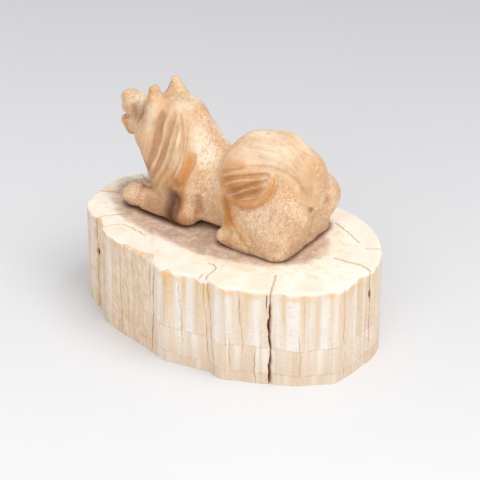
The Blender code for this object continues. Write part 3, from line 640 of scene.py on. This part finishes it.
def rough_dog():
    """All masses as overlapping primitives, fused by a voxel remesh."""
    shape = bmesh.new()
    for kind, numbers, _, both in BODY_MASSES + TAIL_MASSES:
        add_mass(shape, kind, numbers)
        if both:
            add_mass(shape, kind, mirrored_numbers(numbers))
    mesh = bpy.data.meshes.new("dog_masses")
    shape.to_mesh(mesh)
    shape.free()
    rough = linked("dog_masses", mesh)
    fuse = rough.modifiers.new("fuse", "REMESH")
    fuse.mode = "VOXEL"
    fuse.voxel_size = VOXEL_GRAINS
    graph = bpy.context.evaluated_depsgraph_get()
    graph.update()
    fused = bpy.data.meshes.new_from_object(rough.evaluated_get(graph))
    bpy.data.objects.remove(rough)
    return fused


def relaxed(points, edges, share):
    """Each point moved part of the way to the middle of its neighbours."""
    total = np.zeros_like(points)
    count = np.bincount(edges.ravel(), minlength=len(points))
    for one, other in ((0, 1), (1, 0)):
        for axis in range(3):
            total[:, axis] += np.bincount(edges[:, one], points[edges[:, other], axis], len(points))
    return points + share * (total / count[:, None] - points)


def dented(points, normals):
    """Shallow facets and dents that the knife left, over the whole carving."""
    rough = sum(depth * waves(points, length, seed) for depth, length, seed in DENTS)
    return points + normals * (rough - DENT_SINK)[:, None]


def cut_flat(mesh, height):
    shape = bmesh.new()
    shape.from_mesh(mesh)
    everything = shape.verts[:] + shape.edges[:] + shape.faces[:]
    bmesh.ops.bisect_plane(shape, geom=everything, dist=1e-9, plane_co=(0, 0, height),
                           plane_no=(0, 0, -1), clear_outer=True)
    rim = [edge for edge in shape.edges if edge.is_boundary]
    bmesh.ops.edgeloop_fill(shape, edges=rim)
    bmesh.ops.recalc_face_normals(shape, faces=shape.faces)
    shape.to_mesh(mesh)
    shape.free()


def hollowness(points, normals):
    """How shut in each point is, from the form's distance a little way out along the normal."""
    total = np.zeros(len(points))
    for way, weight in ((0.8, 0.3), (2.0, 0.35), (4.5, 0.35)):
        total += weight * np.clip(1 - dog_form(points + way * normals) / way, 0, 1)
    return total


def make_dog():
    mesh = rough_dog()
    mesh.name = "carved_dog"
    points = points_of(mesh)
    edges = np.zeros(len(mesh.edges) * 2, int)
    mesh.edges.foreach_get("vertices", edges)
    edges = edges.reshape(-1, 2)
    for _ in range(SMOOTHING_ROUNDS):
        points = relaxed(settled(points, 2), edges, 0.5)
    points = settled(points, 3)
    normals = unit(form_and_slope(points)[1])
    depth = strokes(points, groove_rows())
    depth -= strokes(points, painted_rows(RAISED))
    points = dented(points, normals) - normals * depth[:, None]
    mesh.vertices.foreach_set("co", points.ravel())
    cut_flat(mesh, -SETTLE_DOWN / GRAIN)
    points = points_of(mesh)
    normals = unit(form_and_slope(points)[1])
    set_values(mesh, "groove", strokes(points, groove_rows()))
    # How shut in each point is, read by the material as painted shade in the hollows, which also stands
    # for patina there
    set_values(mesh, "hollow_shade", hollowness(points, normals))
    for name, table, fade in (("amber", AMBER_STROKES, 0.2), ("umber_and_shade", UMBER_AND_SHADE_STROKES, 0.25),
                              ("mauve", MAUVE_STROKES, 0.3), ("highlight", HIGHLIGHT_STROKES, 0.3),
                              ("pale", LIT_AND_WORN_STROKES, 0.5)):
        set_values(mesh, name, strokes(points, painted_rows(table), fade))
    families = ((RUFF_GUIDES, 30), (FRONT_GUIDES, 18), (CHEST_GUIDES, 12), (TAIL_GUIDES, 24))
    set_values(mesh, "strand", strand_field(points, families))
    mesh.vertices.foreach_set("co", (points * GRAIN).ravel())
    mesh.update()
    top_of_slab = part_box("tusk_base")[1].z
    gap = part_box("dog")[0].z - top_of_slab
    return show("carved_dog", mesh, dog_material(), (0, DOG_SIDE_STEP, top_of_slab + gap))


# The slab

def turn_between(first, second):
    """Smallest angle from one direction to another, in degrees."""
    return (first - second + 180) % 360 - 180


def fluted(degrees):
    """Radius of the slab's outline in each direction."""
    angle = np.radians(degrees)
    across = np.abs(np.cos(angle)) / (SLAB_LENGTH / 2)
    along = np.abs(np.sin(angle)) / (SLAB_WIDTH / 2)
    plain = (across ** SQUARENESS + along ** SQUARENESS) ** (-1 / SQUARENESS)
    rise = sum(height * np.exp(-(turn_between(degrees, way) / spread) ** 2)
               for way, spread, height in FLUTES)
    return plain + FLUTE_DEPTH * rise


def column_directions():
    """Directions of the slab's columns in degrees, closer together beside each crack."""
    fine = np.linspace(-180, 180, 7201)
    density = np.ones_like(fine)
    for top, foot, *_ in SIDE_CRACKS:
        density += 2.2 * np.exp(-(turn_between(fine, (top + foot) / 2) / 1.6) ** 2)
    summed = np.concatenate(((0,), np.cumsum((density[1:] + density[:-1]) / 2)))
    return np.interp(np.linspace(0, summed[-1], COLUMNS, endpoint=False), summed, fine)


def crack_wander(height, seed):
    """Sideways wander of a crack in millimetres at each height in millimetres."""
    return (0.12 * np.sin(height * 0.55 + seed) + 0.07 * np.sin(height * 1.7 + 2.3 * seed)
            + 0.04 * np.sin(height * 3.1 + 1.7 * seed))


def side_cracks(degrees, height, radius, tall):
    """Depth in metres and darkness of the side cracks at each point."""
    depth = np.zeros_like(degrees)
    dark = np.zeros_like(degrees)
    for number, (top, foot, high, low, width, deep) in enumerate(SIDE_CRACKS):
        share = np.clip(height / tall, 0, 1)
        way = foot + (top - foot) * share
        off = np.radians(turn_between(degrees, way)) * radius / MM
        off = off + crack_wander(height / MM, number)
        open_share = np.clip(np.minimum(share - low + 0.02, high - share + 0.02) / 0.06, 0, 1)
        swell = 1 + 0.3 * np.sin(height / MM * 0.5 + number) + 0.2 * np.sin(height / MM * 1.3)
        profile = np.exp(-(off / (0.5 * width * swell)) ** 2) * open_share
        depth = np.maximum(depth, profile * deep * MM)
        dark = np.maximum(dark, profile * min(1.0, 0.35 + 0.55 * deep))
    for way, share, half_width, half_height in PITS:
        off = np.radians(turn_between(degrees, way)) * radius / MM / half_width
        rise = (height - share * tall) / MM / half_height
        profile = np.exp(-off ** 2 - rise ** 2)
        depth = np.maximum(depth, profile * PIT_DEPTH)
        dark = np.maximum(dark, np.minimum(1.3 * profile, 1))
    return depth, dark


def top_cracks(x, y):
    """Darkness of the top's cracks at each point."""
    flat = np.stack((x / MM, y / MM, np.zeros_like(x)), -1)
    dark = np.zeros_like(x)
    for number, (corners, width) in enumerate(TOP_CRACKS):
        line = smooth_line([(a, b, 0) for a, b in corners], 26)
        line[:, 0] += 0.10 * np.sin(np.arange(26) * 1.1 + number)
        line[:, 1] += 0.10 * np.sin(np.arange(26) * 1.5 + 2 * number)
        dark = np.maximum(dark, stroke(flat, line, width, 1.0, 0.02))
    return dark


def upright_bands(degrees, bands):
    """How strong the strongest of the bands is at each direction."""
    return np.max([share * np.exp(-(turn_between(degrees, way) / half) ** 4)
                   for way, half, share in bands], axis=0)


def slab_rows(tall):
    """Height and inward share of each ring of the slab, from its foot to its middle."""
    rows = [(tall - RIM_ROUNDING) * step / SIDE_ROWS for step in range(SIDE_ROWS + 1)]
    rings = [(height, 0.0, 1.0) for height in rows]
    for step in range(1, RIM_ROWS + 1):
        turn = math.pi / 2 * step / RIM_ROWS
        rings.append((tall - RIM_ROUNDING * (1 - math.sin(turn)),
                      RIM_ROUNDING * (1 - math.cos(turn)), 1.0))
    for step in range(1, TOP_RINGS + 1):
        rings.append((tall, RIM_ROUNDING, 1 - (1 - INNER_SHARE) * step / TOP_RINGS))
    for step in range(1, INNER_RINGS):
        rings.append((tall, RIM_ROUNDING, INNER_SHARE * (1 - step / INNER_RINGS)))
    return rings


def slab_mesh(tall):
    """The slab as rings of columns, with the values that its material reads."""
    degrees = column_directions()
    radius = fluted(degrees)
    cos, sin = np.cos(np.radians(degrees)), np.sin(np.radians(degrees))
    x, y = radius * cos, radius * sin
    middle = ((x.max() + x.min()) / 2, (y.max() + y.min()) / 2)
    rings = slab_rows(tall)
    points, degree_of, cracks, below_rim = [], [], [], []
    for height, inward, share in rings:
        heights = np.full_like(degrees, height)
        depth, dark = side_cracks(degrees, heights, radius, tall)
        fine = np.stack((x / MM, y / MM, heights / MM * RIPPLE_RISE), -1)
        fine = RIPPLE * (1 + waves(fine, RIPPLE_LENGTH, 8))
        rim = 1 if share == 1 else max(0.0, 1 - (1 - share) * RIM_FADE)
        around = (radius - (fine + depth) * rim - inward) * share
        points.append(np.stack((around * cos - middle[0], around * sin - middle[1], heights), -1))
        cracks.append(dark * rim)
        degree_of.append(degrees)
        below_rim.append(tall - heights - radius * (1 - share))
    points = np.vstack(points)
    cracks, degree_of, below_rim = (np.concatenate(rows) for rows in (cracks, degree_of, below_rim))
    on_top = points[:, 2] > tall - 0.5 * RIM_ROUNDING
    top_dark = top_cracks(points[:, 0], points[:, 1]) * on_top
    points[:, 2] -= TOP_CRACK_DEPTH * top_dark
    cracks = np.maximum(cracks, top_dark * TOP_CRACK_DARKNESS)

    faces = []
    innermost = (len(rings) - 1) * COLUMNS
    for start in range(0, innermost, COLUMNS):
        above = start + COLUMNS
        for column in range(COLUMNS):
            after = (column + 1) % COLUMNS
            faces.append((start + column, start + after, above + after, above + column))
    centre = len(points)
    points = np.vstack((points, ((-middle[0], -middle[1], tall),)))
    faces += [(innermost + c, innermost + (c + 1) % COLUMNS, centre) for c in range(COLUMNS)]
    faces.append(tuple(reversed(range(COLUMNS))))
    mesh = bpy.data.meshes.new("tusk_slab")
    mesh.from_pydata(points.tolist(), [], faces)
    mesh.validate()
    paint_slab(mesh, points, tall, degree_of, cracks, below_rim)
    return mesh


def paint_slab(mesh, points, tall, degree_of, cracks, below_rim):
    """Set the values that the material reads. The middle of the top is the last point."""
    around = np.stack((degree_of / 8, degree_of * 0, degree_of * 0), -1)
    drop = RIND_DROP + RIND_WAVE * waves(around, 1.0, 12)
    for way, spread, dip in RIND_DIPS:
        drop -= dip * np.exp(-(turn_between(degree_of, way) / spread) ** 2)
    rind = np.clip((drop * MM - below_rim) / RIND_EDGE + 0.5, 0, 1)
    fringe = np.exp(-((below_rim / MM - drop - FRINGE_DROP) / FRINGE_DROP) ** 2)
    brown = np.max([share * np.exp(-np.abs(turn_between(degree_of, way) / half) ** power)
                    for way, half, share, power in WEATHERED], axis=0)
    for name, values, at_middle in (
        ("fringe", fringe, 0), ("rind", rind, 1), ("brown", brown, 0), ("crack", cracks, 0),
        ("white", upright_bands(degree_of, WHITE_BANDS), 0),
        ("ochre", upright_bands(degree_of, OCHRE_BANDS), 0),
    ):
        set_values(mesh, name, np.append(values, at_middle))
    arc = np.radians(degree_of) * SLAB_LENGTH / 2
    unrolled = np.stack((arc, points[:-1, 2], 0 * arc), -1)
    set_values(mesh, "unrolled", np.vstack((unrolled, (0, 0, 0))))
    set_values(mesh, "core_and_shadow", np.hypot(*((points[:, axis] / MM - CORE_AND_SHADOW_MIDDLE[axis]) / CORE_AND_SHADOW_RADII[axis]
                                        for axis in (0, 1))))
    # Painted contact shadow: stronger the nearer the top lies to the dog's form
    from_dog = (points - np.array((0, DOG_SIDE_STEP, tall))) / GRAIN
    contact_shadow = np.clip(1 - dog_form(from_dog) / CONTACT_SHADOW_REACH, 0, 1)
    set_values(mesh, "contact_shadow", contact_shadow * (points[:, 2] > tall - RIM_ROUNDING))


def make_slab():
    low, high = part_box("tusk_base")
    mesh = slab_mesh(high.z - low.z)
    slab = show("tusk_slab", mesh, slab_material(), (0, 0, low.z))
    mesh.set_sharp_from_angle(angle=SHARP_ANGLE)
    return slab


# Materials

class Net:
    """A material's node tree, with short calls for the nodes used here."""

    def __init__(self, name):
        self.material = bpy.data.materials.new(name)
        self.material.use_nodes = True
        self.nodes = self.material.node_tree.nodes
        self.links = self.material.node_tree.links
        self.shader = self.nodes["Principled BSDF"]
        self.place = self.nodes.new("ShaderNodeTexCoord").outputs["Object"]

    def feed(self, socket, value):
        if isinstance(value, bpy.types.NodeSocket):
            self.links.new(value, socket)
        else:
            socket.default_value = value

    def value(self, name, kind="Fac"):
        """A value that the mesh's points carry."""
        node = self.nodes.new("ShaderNodeAttribute")
        node.attribute_name = name
        return node.outputs[kind]

    def parts(self, vector):
        node = self.nodes.new("ShaderNodeSeparateXYZ")
        self.feed(node.inputs[0], vector)
        return node.outputs

    def give(self, name, value):
        self.feed(self.shader.inputs[name], value)

    def dress(self, colour, rough, shine, normal):
        """Colour, roughness and shine of the shader, and its bumps."""
        for name, value in (("Base Color", colour), ("Roughness", rough),
                            ("Specular IOR Level", shine), ("Normal", normal)):
            self.give(name, value)

    def math(self, kind, first, second=0.0, clamp=False):
        node = self.nodes.new("ShaderNodeMath")
        node.operation = kind
        node.use_clamp = clamp
        self.feed(node.inputs[0], first)
        self.feed(node.inputs[1], second)
        return node.outputs[0]

    def times(self, first, second, clamp=False):
        return self.math("MULTIPLY", first, second, clamp)

    def plus(self, first, second):
        return self.math("ADD", first, second)

    def rest(self, share):
        return self.math("SUBTRACT", 1.0, share)

    def centred(self, value):
        return self.math("SUBTRACT", value, 0.5)

    def scaled(self, vector, scale):
        node = self.nodes.new("ShaderNodeVectorMath")
        node.operation = "MULTIPLY"
        self.feed(node.inputs[0], vector)
        node.inputs[1].default_value = scale
        return node.outputs[0]

    def noise(self, vector, scale, detail, rough, warp=0.0):
        node = self.nodes.new("ShaderNodeTexNoise")
        self.feed(node.inputs["Vector"], self.scaled(vector, scale))
        node.inputs["Scale"].default_value = 1
        node.inputs["Detail"].default_value = detail
        node.inputs["Roughness"].default_value = rough
        node.inputs["Distortion"].default_value = warp
        return node.outputs[0]

    def cells(self, vector, scale):
        node = self.nodes.new("ShaderNodeTexVoronoi")
        self.feed(node.inputs["Vector"], self.scaled(vector, scale))
        node.inputs["Scale"].default_value = 1
        return node.outputs["Distance"]

    def band(self, value, low, high):
        """0 below low, 1 above high, smooth between; or the reverse if low is above high."""
        node = self.nodes.new("ShaderNodeMapRange")
        node.interpolation_type = "SMOOTHSTEP"
        self.feed(node.inputs["Value"], value)
        node.inputs["From Min"].default_value = low
        node.inputs["From Max"].default_value = high
        return node.outputs[0]

    def mix(self, share, first, second):
        node = self.nodes.new("ShaderNodeMix")
        node.data_type = "RGBA"
        self.feed(node.inputs[0], share)
        self.feed(node.inputs[6], first)
        self.feed(node.inputs[7], second)
        return node.outputs[2]

    def layered(self, colour, *layers):
        """The colour under further layers, in order: where each lies, its strength, its paint."""
        for share, strength, paint in layers:
            colour = self.mix(self.times(share, strength), colour, paint)
        return colour

    def bump(self, height, distance, strength, before=None):
        node = self.nodes.new("ShaderNodeBump")
        node.inputs["Strength"].default_value = strength
        node.inputs["Distance"].default_value = distance
        self.feed(node.inputs["Height"], height)
        if before is not None:
            self.feed(node.inputs["Normal"], before)
        return node.outputs[0]


def srgb(red, green, blue):
    """A colour from screen values of 0 to 255."""
    return tuple((c / 255 / 12.92 if c <= 10 else ((c / 255 + 0.055) / 1.055) ** 2.4)
                 for c in (red, green, blue)) + (1.0,)


def dog_material():
    net = Net("carved_tan_ivory")
    place = net.place
    clouds = net.noise(place, (160, 160, 160), 3, 0.6)
    mottle = net.noise(place, (700, 700, 700), 3, 0.6)
    flecks = net.cells(place, (2100, 2100, 1500))
    specks = net.noise(place, (2600, 2600, 2000), 2, 0.6)
    knife = net.noise(place, (1500, 1500, 420), 2, 0.6, 1.0)
    strand = net.value("strand", "Vector")
    on_locks = net.band(net.parts(strand)[2], 0.05, 0.45)
    off_locks = net.rest(on_locks)
    hairs = net.noise(strand, (46, 5, 0), 3, 0.65)
    broad_hairs = net.noise(strand, (14, 2, 0), 2, 0.5)
    lit_and_worn = net.plus(net.value("pale"), net.times(net.centred(clouds), 0.8))

    colour = net.layered(
        net.mix(net.band(clouds, 0.35, 0.65), srgb(217, 176, 134), srgb(230, 196, 158)),
        # Painted highlight on the lit tops, mixed with wear and random clouds of tone
        (net.band(lit_and_worn, -0.1, 1.0), 0.9, srgb(245, 227, 202)),
        (net.band(mottle, 0.5, 0.72), 0.45, srgb(206, 156, 104)),
        (net.times(net.band(flecks, 0.42, 0.2), off_locks), 0.5, srgb(252, 238, 214)),
        (net.times(net.band(specks, 0.55, 0.68), off_locks), 0.5, srgb(184, 130, 86)),
        (net.times(net.band(knife, 0.5, 0.64), off_locks), 0.42, srgb(190, 134, 88)),
        (net.times(net.band(hairs, 0.48, 0.66), on_locks), 0.35, srgb(204, 156, 112)),
        (net.times(net.band(broad_hairs, 0.55, 0.7), on_locks), 0.4, srgb(247, 221, 180)),
        # Painted shade in the hollows, which also stands for patina there
        (net.band(net.value("hollow_shade"), 0.25, 0.85), 0.52, srgb(172, 114, 64)),
        # Painted shade in the cut grooves
        (net.band(net.value("groove"), 0.1, 0.7), 0.5, srgb(178, 122, 80)),
        (net.value("amber"), 0.9, srgb(206, 132, 44)),
        (net.value("mauve"), 0.85, srgb(152, 98, 58)),
        # Painted highlights beside the grooves of the tail's tip and along the ruff's locks
        (net.value("highlight"), 1, srgb(245, 222, 190)),
        # Dark brown stain, and painted shade in the grooves and creases
        (net.value("umber_and_shade"), 0.94, srgb(76, 37, 10)),
    )
    rough = net.plus(0.42, net.times(mottle, 0.22))
    rough = net.math("SUBTRACT", rough, net.times(on_locks, 0.1))
    stippling = net.times(net.plus(flecks, specks), off_locks)
    bump = net.bump(stippling, 0.10 * MM, 0.7)
    bump = net.bump(net.times(hairs, on_locks), 0.16 * MM, 0.6, bump)
    net.dress(colour, rough, 0.35, bump)
    net.give("Subsurface Weight", 0.12)
    net.give("Subsurface Radius", (1.0, 0.6, 0.35))
    net.give("Subsurface Scale", 0.6 * MM)
    return net.material


def slab_side(net, level, streaks, hatch, specks):
    """Colour of the slab's side: bands, seams, the weathered part and the ochre fringe."""
    place = net.place
    height = net.parts(place)[2]
    layer = net.plus(net.times(net.band(level, UPPER_SEAM - 0.1 * MM, UPPER_SEAM + 0.1 * MM), 5.3),
                     net.times(net.band(level, LOWER_SEAM - 0.1 * MM, LOWER_SEAM + 0.1 * MM), 3.1))
    shift = net.nodes.new("ShaderNodeCombineXYZ")
    net.feed(shift.inputs[2], layer)
    bands_place = net.nodes.new("ShaderNodeVectorMath")
    bands_place.operation = "ADD"
    net.feed(bands_place.inputs[0], net.scaled(place, (430, 430, 14)))
    net.feed(bands_place.inputs[1], shift.outputs[0])
    blocks = net.noise(bands_place.outputs[0], (1, 1, 1), 1.5, 0.5)
    patches = net.noise(place, (240, 240, 160), 2, 0.5)
    mottle = net.noise(place, (520, 300, 260), 3, 0.6, 0.8)
    slant = net.nodes.new("ShaderNodeMapping")
    net.feed(slant.inputs["Vector"], net.value("unrolled", "Vector"))
    slant.inputs["Rotation"].default_value = (0, 0, math.radians(48))
    scored = net.noise(slant.outputs[0], (320, 2600, 0), 3, 0.65, 0.3)

    white = net.value("white")
    above_seam = net.band(level, UPPER_SEAM - 0.3 * MM, UPPER_SEAM + 0.3 * MM)
    uneven = net.plus(0.75, net.times(net.centred(patches), 1.6))
    near_rim = net.plus(0.3, net.times(net.band(height, 13 * MM, 22 * MM), 0.7))
    warm = net.times(net.times(net.value("ochre"), near_rim), uneven, True)
    bleached = net.times(net.times(white, above_seam), uneven, True)
    off_seam = net.math("MINIMUM", *(net.math("ABSOLUTE", net.math("SUBTRACT", level, seam))
                                     for seam in (UPPER_SEAM, LOWER_SEAM)))
    weathered = net.layered(
        net.mix(net.band(mottle, 0.36, 0.64), srgb(228, 198, 164), srgb(240, 220, 194)),
        (net.band(scored, 0.5, 0.62), 0.6, srgb(190, 146, 104)),
        (net.band(scored, 0.46, 0.36), 0.5, srgb(248, 232, 206)),
        (net.band(streaks, 0.5, 0.64), 0.3, srgb(184, 142, 104)),
        (white, 0.8, srgb(238, 228, 216)),
    )
    return net.layered(
        net.mix(net.band(blocks, 0.3, 0.7), srgb(234, 213, 188), srgb(243, 230, 213)),
        (net.times(warm, net.band(level, 8 * MM, 12 * MM)), 1, srgb(234, 196, 144)),
        (bleached, 1, srgb(249, 245, 240)),
        (net.times(net.band(blocks, 0.52, 0.66), net.rest(above_seam)), 0.7, srgb(248, 240, 228)),
        (net.band(streaks, 0.52, 0.66), 0.3, srgb(212, 176, 138)),
        (net.band(hatch, 0.55, 0.65), 0.25, srgb(214, 176, 138)),
        (net.band(specks, 0.58, 0.68), 0.35, srgb(252, 246, 234)),
        # Painted shade: the side darker towards its foot
        (net.band(height, 9.6 * MM, 2 * MM), 0.3, srgb(212, 182, 150)),
        (net.value("brown"), 0.75, weathered),
        (net.times(net.value("fringe"), net.band(patches, 0.4, 0.6)), 0.75, srgb(240, 200, 142)),
        (net.times(net.band(off_seam, 0.28 * MM, 0.05 * MM), net.band(streaks, 0.4, 0.55)), 0.4,
         srgb(206, 162, 120)),
    )


def slab_top(net, specks):
    """Colour of the slab's top and rind: pale outside, marbled inside, with painted shadow round the dog.
    """
    fog = net.noise(net.place, (150, 150, 150), 4, 0.6)
    marble = net.noise(net.place, (420, 420, 420), 4, 0.65, 0.6)
    edge = net.plus(net.value("core_and_shadow"), net.times(net.centred(fog), 0.3))
    speckled_shadow = net.plus(net.value("contact_shadow"), net.times(net.centred(specks), 0.5))
    core_and_shadow_tone = net.mix(net.band(marble, 0.35, 0.65), srgb(188, 160, 140), srgb(220, 196, 174))
    return net.layered(
        net.mix(net.band(fog, 0.35, 0.65), srgb(243, 230, 212), srgb(249, 241, 228)),
        (net.times(net.band(edge, 1.5, 1.1), net.band(marble, 0.48, 0.62)), 0.5, srgb(240, 208, 160)),
        # The marbled core, which also stands for painted shadow in front of the dog's paws
        (net.band(edge, 1.06, 0.93), 1, core_and_shadow_tone),
        # Painted contact shadow round the dog, broken up by specks
        (net.band(speckled_shadow, 0.42, 1.05), 0.9, srgb(96, 58, 36)),
    )


def slab_material():
    net = Net("pale_tusk_slab")
    place = net.place
    wander = net.noise(place, (90, 90, 30), 2, 0.5)
    level = net.plus(net.parts(place)[2], net.times(net.centred(wander), SEAM_WANDER))
    streaks = net.noise(place, (1500, 1500, 60), 3, 0.6)
    hatch = net.noise(place, (700, 700, 3600), 2, 0.6)
    specks = net.noise(place, (2400, 2400, 1800), 2, 0.6)
    crack = net.value("crack")
    on_rind = net.band(net.plus(net.value("rind"), net.times(net.centred(streaks), 0.4)), 0.4, 0.6)
    colour = net.layered(
        net.mix(on_rind, slab_side(net, level, streaks, hatch, specks), slab_top(net, specks)),
        (net.band(crack, 0.05, 0.5), 0.75, srgb(186, 130, 84)),
        (net.band(crack, 0.5, 0.95), 1, srgb(66, 38, 20)),
    )
    rough = net.math("SUBTRACT", 0.62, net.times(on_rind, 0.2))
    rough_side = net.times(net.plus(hatch, streaks), net.rest(on_rind))
    net.dress(colour, rough, 0.35, net.bump(rough_side, 0.14 * MM, 0.7))
    net.give("Subsurface Weight", 0.2)
    net.give("Subsurface Radius", (1.0, 0.7, 0.45))
    net.give("Subsurface Scale", 0.8 * MM)
    return net.material


def floor_material():
    net = Net("pale_floor")
    # Painted shade: the floor's colour darkens away from the camera
    away = net.nodes.new("ShaderNodeVectorMath")
    away.operation = "DOT_PRODUCT"
    net.feed(away.inputs[0], net.place)
    away.inputs[1].default_value = -direction(CAMERA_AZIMUTH - FLOOR_SHADE_TURN, 0)
    fall = net.nodes.new("ShaderNodeMapRange")
    net.feed(fall.inputs["Value"], away.outputs["Value"])
    fall.inputs["From Min"].default_value = -60 * MM
    fall.inputs["From Max"].default_value = 200 * MM
    grain = net.noise(net.place, (60, 60, 60), 2, 0.5)
    near = net.mix(grain, srgb(230, 230, 231), srgb(232, 232, 233))
    net.give("Base Color", net.mix(fall.outputs[0], near, srgb(198, 198, 200)))
    net.give("Roughness", 0.75)
    net.give("Specular IOR Level", 0.2)
    return net.material


# The stage

def direction(azimuth, elevation):
    """Unit vector towards a camera or lamp that stands at this azimuth and elevation."""
    a, e = math.radians(azimuth), math.radians(elevation)
    return Vector((math.sin(a) * math.cos(e), -math.cos(a) * math.cos(e), math.sin(e)))


def stand(item, azimuth, elevation, distance):
    """Put a camera or lamp at this distance from AIM and turn it to face it."""
    back = direction(azimuth, elevation)
    item.location = AIM + back * distance
    item.rotation_mode = "QUATERNION"
    item.rotation_quaternion = (-back).to_track_quat("-Z", "Y")


def make_floor():
    shape = bmesh.new()
    bmesh.ops.create_circle(shape, cap_ends=True, segments=96, radius=FLOOR_RADIUS)
    mesh = bpy.data.meshes.new("floor")
    shape.to_mesh(mesh)
    shape.free()
    floor = show("floor", mesh, floor_material())


def make_light():
    world = bpy.data.worlds.new("soft_room")
    world.use_nodes = True
    background = world.node_tree.nodes["Background"]
    background.inputs[0].default_value = ROOM_COLOUR
    background.inputs[1].default_value = ROOM_STRENGTH
    bpy.context.scene.world = world
    for name, azimuth, elevation, distance, side, power in LAMPS:
        lamp = bpy.data.lights.new(name, "AREA")
        lamp.shape = "SQUARE"
        lamp.size = side
        lamp.energy = power
        stand(linked(name, lamp), azimuth, elevation, distance)


def make_camera():
    camera = bpy.data.cameras.new("camera")
    camera.sensor_width = SENSOR
    camera.lens = LENS
    camera.clip_start = 0.01
    camera.clip_end = 50
    item = linked("camera", camera)
    stand(item, CAMERA_AZIMUTH, CAMERA_ELEVATION, CAMERA_DISTANCE)
    bpy.context.scene.camera = item


def main():
    make_camera()
    make_floor()
    make_light()
    bpy.context.scene.view_settings.view_transform = "Standard"
    for piece, node, slot in ((make_dog(), "dog", "tan_ivory"),
                              (make_slab(), "tusk_base", "pale_tusk")):
        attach(piece, "root")
        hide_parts(node)


main()
